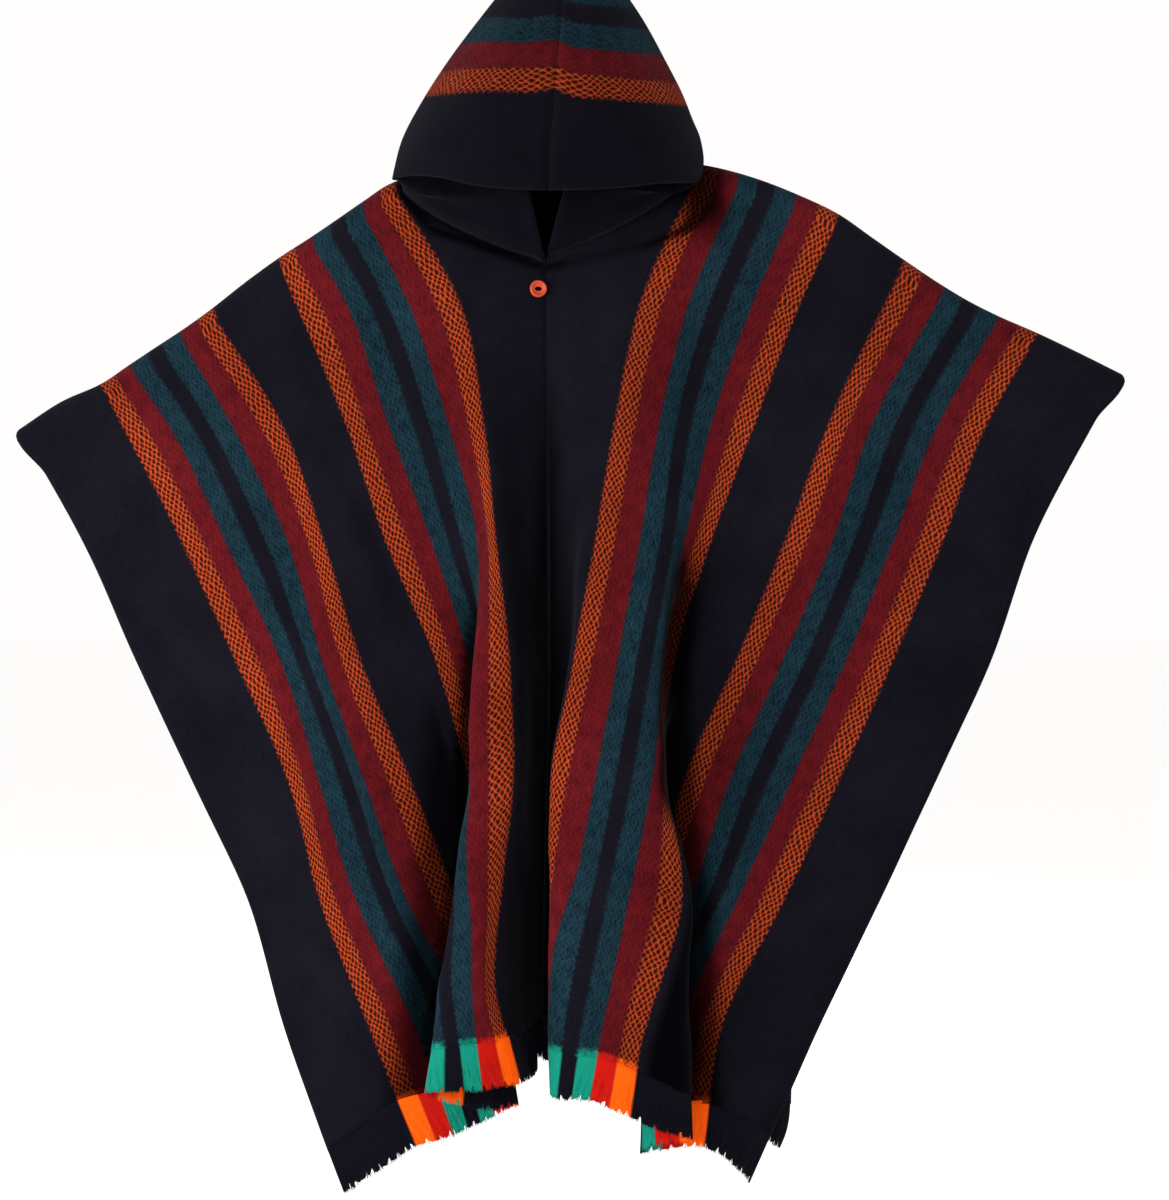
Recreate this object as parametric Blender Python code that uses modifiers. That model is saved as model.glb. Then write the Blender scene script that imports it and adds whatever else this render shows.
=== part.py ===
import math

import bmesh
import bpy
from mathutils import Vector

# Hooded wool poncho, hung filled out with no wearer, on a plain wooden hanger inside it.
# Two loom widths are joined down the middle of the front and the back, each running from the front hem
# over the shoulder to the back hem. The hood is two pieces joined along its top and back.
# Sizes across are in mm from a datum 546 mm left of the hook, drops in mm below a datum 75 mm above it.
DATUM_ACROSS = 546.0
DATUM_DROP = 75.0
EYE = 2200.0
EYE_ACROSS = 584.5
EYE_DROP = 600.0

CLOTH = 0.0030
WIDTH = 0.572
FRINGE = 46.0
HEM_GAP = 1.2
ROLL = 15.0
NECK_HALF = 0.106
NECK_FRONT = 0.092
NECK_BACK = 0.034
NECK_GAP = 0.0026
LOCKS = 40
STRIP = 0.17
BUTTON_RADIUS = 0.0085
BUTTON_THICK = 0.0042

# Stations across one loom width: distance of each from the middle seam, in metres. They are the seam and
# the middle of the plain part beside it; then the inner edge, the red to teal line, the middle, the teal to
# red line and the outer edge of the first band group; the middle of the plain part between; the same five
# of the second group; the middle of the outer margin; and the selvedge.
STATIONS = (
    0.0, 0.055,
    0.110, 0.153, 0.1835, 0.214, 0.257,
    0.296,
    0.335, 0.378, 0.4085, 0.439, 0.482,
    0.527, 0.572,
)

# Shoulder ridge: across and drop of each station where its warp crosses the ridge.
TOPS = {
    "left": ((545, 166), (470, 168), (397, 182), (364, 202), (338, 220), (313, 237), (279, 259), (246, 283),
             (213, 309), (181, 332), (155, 349), (131, 365), (101, 385), (61, 403), (20, 430)),
    "right": ((547, 160), (622, 158), (697, 165), (738, 174), (766, 183), (796, 195), (838, 215), (871, 238),
              (904, 261), (943, 287), (970, 303), (998, 317), (1037, 334), (1079, 354), (1121, 375)),
}

# Hem: drop of the fringe ends at each station.
HEMS = {
    "left": (1062, 1074, 1085, 1092, 1094, 1096, 1108, 1112, 1106, 1118, 1128, 1138, 1149, 1172, 1197),
    "right": (1062, 1070, 1080, 1095, 1102, 1103, 1120, 1136, 1142, 1148, 1155, 1152, 1150, 1169, 1184),
}

# Levels of the front: (drop, across of each station, out from the hanger plane of each station).
LEVELS = {
    "left": (
        (300, (546, 503, 458, 408, 376, 345, 297, 256, 218, 176, 145, 115, 72, 28, -18),
              (34, 42, 46, 38, 34, 30, 26, 24, 22, 19, 18, 17, 16, 16, 16)),
        (420, (547, 516, 483, 448, 421, 387, 344, 311, 279, 230, 198, 166, 116, 63, 10),
              (34, 50, 66, 54, 47, 42, 42, 44, 42, 36, 31, 27, 21, 18, 16)),
        (540, (548, 524, 496, 479, 455, 431, 385, 354, 323, 288, 256, 225, 181, 132, 82),
              (30, 56, 84, 62, 50, 48, 50, 54, 54, 48, 42, 36, 27, 21, 16)),
        (660, (548, 532, 509, 474, 489, 470, 435, 398, 360, 323, 303, 281, 235, 186, 136),
              (26, 58, 96, 90, 68, 51, 52, 56, 58, 53, 48, 42, 31, 23, 16)),
        (780, (546, 532, 512, 467, 491, 499, 469, 439, 410, 365, 347, 319, 288, 240, 192),
              (24, 60, 102, 104, 87, 68, 54, 54, 54, 50, 46, 40, 33, 25, 18)),
        (900, (543, 527, 501, 472, 455, 479, 501, 488, 456, 408, 387, 356, 320, 284, 248),
              (22, 58, 100, 111, 100, 84, 66, 50, 48, 46, 44, 41, 35, 27, 20)),
        (1020, (540, 527, 505, 475, 452, 438, 474, 503, 502, 470, 445, 412, 366, 324, 282),
              (20, 60, 106, 117, 114, 98, 82, 72, 48, 36, 35, 37, 37, 30, 22)),
    ),
    "right": (
        (300, (546, 594, 642, 689, 720, 754, 802, 842, 882, 933, 966, 1000, 1050, 1106, 1160),
              (34, 42, 46, 40, 36, 32, 28, 26, 24, 20, 18, 17, 16, 16, 16)),
        (420, (547, 581, 616, 659, 684, 712, 756, 793, 831, 873, 907, 940, 989, 1043, 1098),
              (34, 52, 66, 60, 54, 46, 40, 40, 40, 38, 35, 31, 25, 20, 16)),
        (540, (548, 576, 596, 639, 667, 685, 713, 749, 786, 832, 863, 893, 943, 988, 1033),
              (30, 58, 84, 80, 73, 58, 48, 46, 48, 46, 43, 38, 31, 23, 16)),
        (660, (548, 574, 574, 617, 644, 667, 680, 708, 737, 782, 814, 846, 893, 942, 991),
              (26, 60, 100, 102, 100, 84, 54, 48, 50, 48, 46, 42, 34, 25, 16)),
        (780, (546, 574, 554, 595, 623, 652, 662, 650, 685, 729, 759, 791, 839, 887, 936),
              (24, 54, 93, 107, 110, 108, 84, 60, 50, 50, 48, 44, 37, 28, 18)),
        (900, (543, 577, 565, 575, 599, 628, 673, 678, 660, 690, 713, 737, 784, 832, 880),
              (22, 46, 79, 105, 113, 117, 106, 82, 60, 50, 50, 46, 39, 30, 20)),
        (1020, (541, 580, 585, 549, 575, 604, 645, 682, 685, 650, 652, 682, 724, 772, 822),
              (20, 42, 68, 93, 110, 118, 117, 106, 86, 64, 49, 45, 42, 33, 22)),
    ),
}

# The row at the fringe ends, the same two readings for each station.
HEM_ROW = {
    "left": ((538, 536, 521, 484, 456, 424, 462, 497, 519, 496, 475, 455, 417, 380, 345),
             (18, 60, 108, 122, 124, 113, 90, 80, 61, 40, 34, 34, 35, 30, 22)),
    "right": ((541, 583, 586, 550, 563, 589, 630, 667, 693, 657, 640, 662, 704, 735, 749),
              (18, 38, 70, 97, 114, 122, 122, 112, 91, 67, 50, 43, 42, 24, 2)),
}

# Hood outline: drop, middle of the width, half width, depth to the front, depth to the back.
HOOD = (
    (-50, 566, 0, 14, 14),
    (-44, 566, 24, 26, 22),
    (-30, 565, 43, 38, 28),
    (-10, 563, 62, 52, 33),
    (20, 561, 81, 70, 37),
    (60, 557, 107, 92, 40),
    (100, 554, 130, 108, 40),
    (140, 550, 147, 120, 38),
    (176, 548, 155, 126, 34),
)

# Turn of each column of the hood about its middle, 0 at the front and 1 at the back.
# The rim ends at the corner.
TURNS = (0.0, 0.07, 0.14, 0.21, 0.28, 0.35, 0.41, 0.46, 0.52, 0.59, 0.67, 0.78, 0.89, 1.0)
CORNER = 7

# How far each column of the hood's last row hangs below it.
RIM_SAG = {
    "left": (17, 17, 16, 14, 10, 5, -3, -9, -10, -10, -11, -12, -14, -14),
    "right": (17, 16, 13, 9, 3, -4, -11, -18, -22, -22, -20, -17, -14, -14),
}

# Upper edge of the neck part behind the rim, from the opening to next to the corner: across, drop and out.
LIP = {
    "left": (
        (527, 176, 84), (508, 177, 72), (488, 178, 62), (466, 179, 54),
        (444, 180, 48), (421, 180, 42), (404, 179, 30),
    ),
    "right": (
        (567, 176, 84), (586, 177, 72), (606, 177, 62), (628, 177, 54),
        (650, 176, 48), (674, 175, 42), (692, 172, 30),
    ),
}


def remove_all():
    """Clears the scene that the script starts in."""
    for thing in list(bpy.data.objects):
        bpy.data.objects.remove(thing, do_unlink=True)


def smooth(x):
    """Eases from 0 to 1."""
    x = max(0.0, min(1.0, x))
    return x * x * (3 - 2 * x)


def mix(a, b, t):
    """Straight mix of two numbers."""
    return a + (b - a) * t


def bend(knots, values, x):
    """A smooth curve through values at rising knots."""
    n = len(knots)
    i = 0
    while i < n - 2 and x > knots[i + 1]:
        i += 1
    h = knots[i + 1] - knots[i]
    t = (x - knots[i]) / h
    slope = (values[i + 1] - values[i]) / h
    before = slope
    after = slope
    if i > 0:
        h0 = knots[i] - knots[i - 1]
        s0 = (values[i] - values[i - 1]) / h0
        before = (s0 * h + slope * h0) / (h + h0)
    if i < n - 2:
        h1 = knots[i + 2] - knots[i + 1]
        s1 = (values[i + 2] - values[i + 1]) / h1
        after = (slope * h1 + s1 * h) / (h + h1)
    t2 = t * t
    t3 = t2 * t
    return ((2 * t3 - 3 * t2 + 1) * values[i] + (t3 - 2 * t2 + t) * h * before
            + (3 * t2 - 2 * t3) * values[i + 1] + (t3 - t2) * h * after)


def seat(across, drop, out):
    """Metres from datum sizes. What stands out towards the eye is drawn in by its share of the distance."""
    k = (EYE - out) / EYE
    a = EYE_ACROSS + (across - EYE_ACROSS) * k
    d = EYE_DROP + (drop - EYE_DROP) * k
    return Vector(((a - DATUM_ACROSS) * 0.001, -out * 0.001, (DATUM_DROP - d) * 0.001))


def sign(side):
    """-1 on the left half, 1 on the right."""
    return -1.0 if side == "left" else 1.0


def station_line(side, i, drop):
    """Across and out of station i of the front at one drop."""
    top = TOPS[side][i]
    knots = [top[1] + ROLL]
    across = [top[0] + (0.6 * ROLL if side == "left" else -0.6 * ROLL) * (i / 14)]
    out = [ROLL]
    for level in LEVELS[side]:
        if level[0] > top[1] + 45:
            knots.append(level[0])
            across.append(level[1][i])
            out.append(level[2][i])
    knots.append(HEMS[side][i])
    across.append(HEM_ROW[side][0][i])
    out.append(HEM_ROW[side][1][i])
    return bend(knots, across, drop), bend(knots, out, drop)


def seam_clear(side, u, drop):
    """Keeps the two loom widths apart where they meet at the middle."""
    room = mix(0.35, 2.0, smooth((drop - 285) / 260))
    return sign(side) * room * (1 - smooth(u / 0.03))


def front_point(side, u, drop_of):
    """A point of the front. drop_of gives each station's drop."""
    across = []
    out = []
    drops = []
    for i in range(len(STATIONS)):
        d = drop_of(i)
        a, o = station_line(side, i, d)
        across.append(a)
        out.append(o)
        drops.append(d)
    d = bend(STATIONS, drops, u)
    a = bend(STATIONS, across, u) + seam_clear(side, u, d)
    return seat(a, d, bend(STATIONS, out, u))


def top_point(side, u):
    """Across and drop of the shoulder ridge."""
    a = bend(STATIONS, [t[0] for t in TOPS[side]], u)
    d = bend(STATIONS, [t[1] for t in TOPS[side]], u)
    return a, d


def back_hem(side, u):
    """Across and drop of the back's fringe ends."""
    w = u / WIDTH
    if side == "left":
        return mix(545, 356, w), mix(1058, 1160, w ** 1.5)
    return mix(547, 768, w), mix(1058, 1150, w ** 1.5)


def back_point(side, u, s, low):
    """A point of the back: s from the shoulder roll to low, the part of the way to the fringe ends."""
    a0, d0 = top_point(side, u)
    a1, d1 = back_hem(side, u)
    s = s * low
    d = mix(d0 + ROLL, d1, s)
    w = u / WIDTH
    a = mix(a0, a1, s)
    edge = station_line(side, 14, min(d, HEMS[side][14]))[0]
    line = mix(TOPS[side][14][0], back_hem(side, WIDTH)[0], s)
    inset = 6.0 if side == "left" else mix(-6.0, 15.0, smooth((d - 1060) / 80))
    a += (edge + inset - line) * w * w
    flat = 143.0
    wide = mix(abs(TOPS[side][14][0] - TOPS[side][2][0]), abs(back_hem(side, WIDTH)[0] - 546), s) / 4.0
    deep = 0.40 * math.sqrt(max(0.0, flat * flat - wide * wide)) * smooth(s * 1.15 + 0.02)
    phase = 0.35 if side == "left" else 0.6
    wave = 0.5 - 0.5 * math.cos(2 * math.pi * (3.6 * w + phase) + 0.5 * math.sin(5 * w + s * 1.2))
    out = -(ROLL + deep * (0.15 + 0.85 * wave) + 5.0 * s)
    a += sign(side) * 5.0 * smooth(s) * math.sin(2 * math.pi * (3.6 * w + phase)) * (1 - w) * smooth(w / 0.12)
    a += seam_clear(side, u, d)
    if u == 0.0:
        out = min(out, -ROLL)
    return seat(a, d, out)


def neck_cut(v, reach):
    """How far the neck opening cuts into the loom width, at a distance v from the shoulder ridge."""
    if v >= reach:
        return 0.0
    return NECK_HALF * (1 - (v / reach) ** 1.7) ** 0.62


def spread(u, cut):
    """Moves the columns nearest the seam out of the neck opening."""
    if u >= 0.153:
        return u
    return cut + u * (0.153 - cut) / 0.153


def columns(per):
    """Distances from the seam of the columns of one loom width, per between two stations."""
    us = []
    for i in range(len(STATIONS) - 1):
        for k in range(per):
            us.append(mix(STATIONS[i], STATIONS[i + 1], k / per))
    us.append(WIDTH)
    return us


def front_rows():
    """Rows of the front: distance below the roll as a fraction of the way to the fringe."""
    return (0.0, 0.018, 0.04, 0.062, 0.082, 0.0985, 0.14, 0.19, 0.26, 0.34,
            0.42, 0.50, 0.58, 0.66, 0.74, 0.82, 0.90, 0.96, 1.0)


def panel_point(side, row, u):
    """A point of a loom width. row is ('front', s), ('roll', angle) or ('back', s)."""
    kind, s = row
    if kind == "front":
        reach = NECK_FRONT * 1000
        length = HEMS[side][2] - FRINGE - TOPS[side][2][1] - ROLL
        v = s * length + 12
        w = spread(u, neck_cut(v, reach))

        def drop_of(i):
            return mix(TOPS[side][i][1] + ROLL, HEMS[side][i] - FRINGE, s)

        return front_point(side, w, drop_of)
    if kind == "back":
        w = spread(u, neck_cut(s * 830 + 6, NECK_BACK * 1000))
        d1 = back_hem(side, w)[1]
        d0 = top_point(side, w)[1] + ROLL
        return back_point(side, w, s, (d1 - FRINGE - d0) / (d1 - d0))
    w = spread(u, neck_cut(0.0, 1.0))
    a, d = top_point(side, w)
    shift = (0.6 * ROLL if side == "left" else -0.6 * ROLL) * (w / WIDTH)
    turn = math.radians(s)
    a += shift * (1 - math.cos(turn)) if s > 0 else 0.0
    return seat(a, d + ROLL * (1 - math.cos(turn)), ROLL * math.sin(turn))


def panel_rows():
    """All rows of a loom width from the front hem over the shoulder to the back hem."""
    rows = [("front", s) for s in reversed(front_rows())]
    rows += [("roll", a) for a in (60, 30, 0, -30, -60)]
    rows += [("back", s) for s in (0.0, 0.02, 0.042, 0.09, 0.17, 0.27, 0.37, 0.47, 0.57, 0.67, 0.77,
                                   0.86, 0.94, 1.0)]
    return rows


def thick_sheet(name, points, quads, thickness, material, group):
    """Makes a sheet of quads with a wall, as one closed solid."""
    mesh = bpy.data.meshes.new(name)
    mesh.from_pydata([tuple(p) for p in points], [], quads)
    mesh.update()
    thing = bpy.data.objects.new(name, mesh)
    group.objects.link(thing)
    mesh.materials.append(material)
    wall = thing.modifiers.new("wall", "SOLIDIFY")
    wall.thickness = thickness
    wall.offset = 0.0
    wall.use_even_offset = False
    wall.use_rim = True
    for face in mesh.polygons:
        face.use_smooth = True
    return thing


def grid_quads(nrows, ncols):
    """Quads of a grid of points stored row by row."""
    quads = []
    for r in range(nrows - 1):
        for c in range(ncols - 1):
            a = r * ncols + c
            quads.append((a, a + 1, a + 1 + ncols, a + ncols))
    return quads


def make_panel(side, material, group):
    """One loom width, front and back in one piece."""
    us = columns(2)
    rows = panel_rows()
    points = [panel_point(side, row, u) for row in rows for u in us]
    return thick_sheet(side + "_panel", points, grid_quads(len(rows), len(us)), CLOTH, material, group)


def fringe_point(side, face, u, s):
    """A point of the fringe, s from its strip to its ends."""
    if face == "front":

        def drop_of(i):
            return mix(HEMS[side][i] - FRINGE + HEM_GAP, HEMS[side][i], s)

        return front_point(side, u, drop_of)
    d1 = back_hem(side, u)[1]
    d0 = top_point(side, u)[1] + ROLL
    reach = mix((d1 - FRINGE + HEM_GAP - d0) / (d1 - d0), 1.0, s)
    return back_point(side, u, reach, 1.0)


def make_fringe(side, face, material, group):
    """A narrow strip along the hem with loose locks standing apart below it."""
    pitch = WIDTH / LOCKS
    points = []
    quads = []

    def add(u, s):
        points.append(fringe_point(side, face, min(WIDTH, max(0.0, u)), s))
        return len(points) - 1

    last = None
    for k in range(LOCKS):
        u0 = (k + 0.14) * pitch if k else 0.0
        u1 = (k + 0.86) * pitch if k < LOCKS - 1 else WIDTH
        lean = 0.0007 * math.sin(k * 2.3 + 1.1)
        ends = 1.0 - 0.10 * (0.5 + 0.5 * math.sin(k * 5.1))
        top0, top1 = add(u0, 0.0), add(u1, 0.0)
        low0, low1 = add(u0, STRIP), add(u1, STRIP)
        end0, end1 = add(u0 + lean + 0.08 * pitch, ends), add(u1 + lean - 0.08 * pitch, ends)
        quads += [(top0, top1, low1, low0), (low0, low1, end1, end0)]
        if last is not None:
            quads.append((last[0], top0, low0, last[1]))
        last = (top1, low1)
    return thick_sheet(side + "_" + face + "_fringe", points, quads, 0.0022, material, group)


def hood_point(side, row, turn, sag=0.0):
    """Across, drop and out on the hood at one row, from turn 0 at its front seam to 1 at its back seam."""
    drop, middle, half, fore, aft = row
    angle = math.pi * turn
    c = math.cos(angle)
    across = middle + sign(side) * half * abs(math.sin(angle)) ** 0.80
    out = fore * c if c > 0 else aft * c
    return across, drop + sag, out


def hood_middle(drop):
    """Middle of the hood's width at one drop."""
    return bend([row[0] for row in HOOD], [row[1] for row in HOOD], max(-50, min(176, drop)))


def neck_line(side):
    """The neck seam on the hood's side, from the foot of the opening over the shoulder to the back."""
    us = columns(2)
    rows = [("front", s) for s in (0.0985, 0.082, 0.062, 0.04, 0.018, 0.0)]
    rows += [("roll", a) for a in (60, 30, 0, -30, -60)]
    rows += [("back", s) for s in (0.0, 0.02, 0.042)]
    line = []
    for row in rows:
        edge = panel_point(side, row, us[0])
        inward = (edge - panel_point(side, row, us[1])).normalized()
        if row in (rows[0], rows[-1]):
            inward = Vector((0.25 * sign(side), 0, 1))
        lift = 0.0006 if row[0] == "front" else 0.0017
        line.append(edge + inward * NECK_GAP + Vector((0, 0, lift)))
    return line


def make_hood(side, material, group):
    """One side of the hood: the bag, open below at the rim, and the neck part that rises behind the rim."""
    neck = neck_line(side)
    steps = len(neck) - 1
    points = []
    index = {}

    def put(key, p, drop, out):
        room = 0.0004 + 0.0014 * smooth((-5 - drop) / 35)
        middle = seat(hood_middle(drop), drop, out).x
        if side == "left":
            p.x = min(p.x, middle - room)
        else:
            p.x = max(p.x, middle + room)
        index[key] = len(points)
        points.append(p)

    for r, row in enumerate(HOOD):
        for i in range(steps + 1):
            sag = RIM_SAG[side][i] if r == len(HOOD) - 1 else 0.0
            if r == len(HOOD) - 2:
                sag = 0.45 * min(0.0, RIM_SAG[side][i])
            across, drop, out = hood_point(side, row, TURNS[i], sag)
            put((r, i), seat(across, drop, out), drop, out)
    quads = []
    for r in range(len(HOOD) - 1):
        for i in range(steps):
            quads.append((index[(r, i)], index[(r, i + 1)], index[(r + 1, i + 1)], index[(r + 1, i)]))
    last = len(HOOD) - 1
    for i in range(steps + 1):
        w = i / CORNER
        for j in range(4):
            t = j / 3
            if i >= CORNER:
                if j == 0:
                    index[("n", j, i)] = index[(last, i)]
                    continue
                top = points[index[(last, i)]]
                p = top.lerp(neck[i], t)
            else:
                p = seat(*LIP[side][i]).lerp(neck[i], t)
                p.y -= 0.008 * math.sin(math.pi * t) * (1 - w)
            index[("n", j, i)] = len(points)
            points.append(p)
    for i in range(steps):
        for j in range(3):
            quads.append((index[("n", j, i)], index[("n", j, i + 1)],
                          index[("n", j + 1, i + 1)], index[("n", j + 1, i)]))
    return thick_sheet("hood_" + side, points, quads, CLOTH, material, group)


def make_button(material, group):
    """A round button with a raised rim and one oval eye, standing off the cloth below the neck opening."""
    mesh = bpy.data.meshes.new("button")
    bm = bmesh.new()
    around = 28
    rings = []
    outline = ((0.30, 0.0004), (0.90, 0.0), (0.99, 0.0008), (1.0, 0.0022), (0.95, 0.0040),
               (0.82, BUTTON_THICK), (0.64, 0.0030), (0.34, 0.0026))
    for r, y in outline:
        ring = []
        for k in range(around):
            a = 2 * math.pi * k / around
            stretch = 0.62 if r < 0.4 else 1.0
            x = BUTTON_RADIUS * r * math.cos(a) * stretch
            z = BUTTON_RADIUS * r * math.sin(a)
            ring.append(bm.verts.new((x, -y, z)))
        rings.append(ring)
    for j in range(len(rings)):
        one = rings[j]
        two = rings[(j + 1) % len(rings)]
        for k in range(around):
            bm.faces.new((one[k], one[(k + 1) % around], two[(k + 1) % around], two[k]))
    bmesh.ops.recalc_face_normals(bm, faces=bm.faces)
    bm.to_mesh(mesh)
    bm.free()
    thing = bpy.data.objects.new("button", mesh)
    mesh.materials.append(material)
    group.objects.link(thing)
    thing.location = seat(538, 289, 36.7)
    thing.rotation_euler = (0.0, 0.0, math.radians(10))
    return thing


def tube(name, points, radius, material, group, sides=8):
    """A round bar along a line of points, closed at both ends."""
    bm = bmesh.new()
    rings = []
    n = len(points)
    up = Vector((0, 1, 0))
    for i in range(n):
        a = points[max(0, i - 1)]
        b = points[min(n - 1, i + 1)]
        along = (b - a).normalized()
        over = up - along * up.dot(along)
        over.normalize()
        across = along.cross(over)
        ring = []
        for k in range(sides):
            t = 2 * math.pi * k / sides
            ring.append(bm.verts.new(points[i] + radius * (math.cos(t) * over + math.sin(t) * across)))
        rings.append(ring)
    for i in range(n - 1):
        for k in range(sides):
            m = (k + 1) % sides
            bm.faces.new((rings[i][k], rings[i][m], rings[i + 1][m], rings[i + 1][k]))
    bm.faces.new(rings[0][::-1])
    bm.faces.new(rings[-1])
    bmesh.ops.recalc_face_normals(bm, faces=bm.faces)
    mesh = bpy.data.meshes.new(name)
    bm.to_mesh(mesh)
    bm.free()
    thing = bpy.data.objects.new(name, mesh)
    mesh.materials.append(material)
    group.objects.link(thing)
    return thing


def make_hanger(material, metal, group):
    """A shaped wooden bar under the shoulder ridge and a wire hook that rises inside the hood."""
    ridge = sorted(TOPS["left"][2:] + TOPS["right"][2:])
    stations = []
    # each arm is two straight lengths, so that its collision pieces fit it closely
    for x in (-262, -155, 0, 155, 290):
        drop = 140.0
        if x:
            drop = bend([t[0] for t in ridge], [t[1] for t in ridge], x + DATUM_ACROSS) + 4.6
        stations.append((x, drop))
    section = ((-0.5, 0.0), (0.5, 0.0), (1.0, 0.3), (1.0, 0.8),
               (0.7, 1.0), (-0.7, 1.0), (-1.0, 0.8), (-1.0, 0.3))
    bm = bmesh.new()
    rings = []
    for x, drop in stations:
        reach = abs(x) / 290
        tall = mix(17.0, 10.0, reach)
        thick = mix(6.5, 5.5, reach)
        ring = []
        for a, b in section:
            p = Vector((x * 0.001, a * thick * 0.001, (DATUM_DROP - drop - tall * b) * 0.001))
            ring.append(bm.verts.new(p))
        rings.append(ring)
    for i in range(len(rings) - 1):
        for k in range(8):
            bm.faces.new((rings[i][k], rings[i][(k + 1) % 8], rings[i + 1][(k + 1) % 8], rings[i + 1][k]))
    bm.faces.new(rings[0][::-1])
    bm.faces.new(rings[-1])
    bmesh.ops.recalc_face_normals(bm, faces=bm.faces)
    mesh = bpy.data.meshes.new("hanger_bar")
    bm.to_mesh(mesh)
    bm.free()
    bar = bpy.data.objects.new("hanger_bar", mesh)
    mesh.materials.append(material)
    group.objects.link(bar)

    wire = 0.0018
    inner = 0.017
    bow = inner + wire
    foot = (DATUM_DROP - 140) * 0.001 + 0.0004
    points = [Vector((0, 0, foot)), Vector((0, 0, -0.050)), Vector((0, 0, -0.040))]
    for k in range(13):
        a = math.radians(-90 + 8 + (k * 21.0))
        points.append(Vector((bow * math.cos(a), 0, -inner + bow * math.sin(a))))
    tube("hanger_hook", points, wire, metal, group)
    return bar


def make_material(name, colour, roughness, metallic=0.0):
    """A plain surface."""
    material = bpy.data.materials.new(name)
    material.use_nodes = True
    shader = material.node_tree.nodes["Principled BSDF"]
    shader.inputs["Base Color"].default_value = colour
    shader.inputs["Roughness"].default_value = roughness
    shader.inputs["Metallic"].default_value = metallic
    return material


def main():
    """Builds the poncho and its hanger."""
    remove_all()
    group = bpy.data.collections.new("poncho")
    bpy.context.scene.collection.children.link(group)
    wool = make_material("wool", (0.020, 0.020, 0.032, 1), 0.95)
    hood_wool = make_material("hood_wool", (0.020, 0.020, 0.032, 1), 0.95)
    warp_ends = make_material("warp_ends", (0.45, 0.08, 0.02, 1), 0.95)
    button_mat = make_material("button", (0.62, 0.16, 0.05, 1), 0.35)
    wood = make_material("wood", (0.45, 0.27, 0.13, 1), 0.55)
    steel = make_material("steel", (0.6, 0.6, 0.6, 1), 0.3, 1.0)
    for side in ("left", "right"):
        make_panel(side, wool, group)
        for face in ("front", "back"):
            make_fringe(side, face, warp_ends, group)
        make_hood(side, hood_wool, group)
    make_button(button_mat, group)
    make_hanger(wood, steel, group)


main()
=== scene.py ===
import math
import random

import bmesh
import bpy
import numpy as np
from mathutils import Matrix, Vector


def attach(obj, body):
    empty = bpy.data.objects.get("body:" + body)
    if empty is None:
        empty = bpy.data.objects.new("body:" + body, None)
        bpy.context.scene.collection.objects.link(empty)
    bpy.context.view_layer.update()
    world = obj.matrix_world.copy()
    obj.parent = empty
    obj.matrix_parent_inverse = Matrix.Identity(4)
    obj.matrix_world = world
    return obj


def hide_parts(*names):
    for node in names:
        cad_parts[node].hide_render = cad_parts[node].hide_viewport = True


# Hooded wool poncho: two banded loom widths, a hood in two halves, fringed hems, on a plain hanger.
# Places across and drops are in mm from the datum; "out" is how far a point stands in front of the hanger.

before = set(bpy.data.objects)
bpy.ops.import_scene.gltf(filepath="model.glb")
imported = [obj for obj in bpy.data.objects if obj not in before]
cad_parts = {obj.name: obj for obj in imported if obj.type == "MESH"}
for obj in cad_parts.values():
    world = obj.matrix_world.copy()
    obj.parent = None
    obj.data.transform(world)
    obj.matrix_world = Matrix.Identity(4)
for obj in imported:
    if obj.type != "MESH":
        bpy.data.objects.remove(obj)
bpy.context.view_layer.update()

datum = {"across": 546.0, "drop": 75.0, "eye": 2200.0, "eyeAcross": 584.5, "eyeDrop": 600.0}

loom = {
    "width": 0.572,       # one loom width, seam to selvedge, in metres
    "thick": 0.0021,
    "fringe": 46.0,
    "roll": 15.0,         # bend over the shoulder
    "neckHalf": 0.106,
    "neckFront": 92.0,
    "neckBack": 34.0,
    "seamTop": 0.30,      # half of the gap at the middle seam, near the neck and low down
    "seamLow": 0.75,
}

# Stations across one loom width, in metres from the middle seam: seam, mid navy, then for each band group
# inner edge, red to teal, middle, teal to red, outer edge, with the mid navy between, mid margin, selvedge.
stations = (0.0, 0.055, 0.110, 0.153, 0.1835, 0.214, 0.257, 0.296,
            0.335, 0.378, 0.4085, 0.439, 0.482, 0.527, 0.572)

# Shoulder ridge: across and drop of each station.
ridge = {
    "left": ((545, 166), (470, 168), (397, 182), (364, 202), (338, 220), (313, 237), (279, 259), (246, 283),
             (213, 309), (181, 332), (155, 349), (131, 365), (101, 385), (61, 403), (20, 430)),
    "right": ((547, 160), (622, 158), (697, 165), (738, 174), (766, 183), (796, 195), (838, 215), (871, 238),
              (904, 261), (943, 287), (970, 303), (998, 317), (1037, 334), (1079, 354), (1121, 375)),
}

# Drop of the fringe ends at each station.
hems = {
    "left": (1062, 1074, 1085, 1092, 1094, 1096, 1108, 1112, 1106, 1118, 1128, 1138, 1149, 1172, 1197),
    "right": (1062, 1070, 1080, 1095, 1102, 1103, 1120, 1136, 1142, 1148, 1155, 1152, 1150, 1169, 1184),
}

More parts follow.
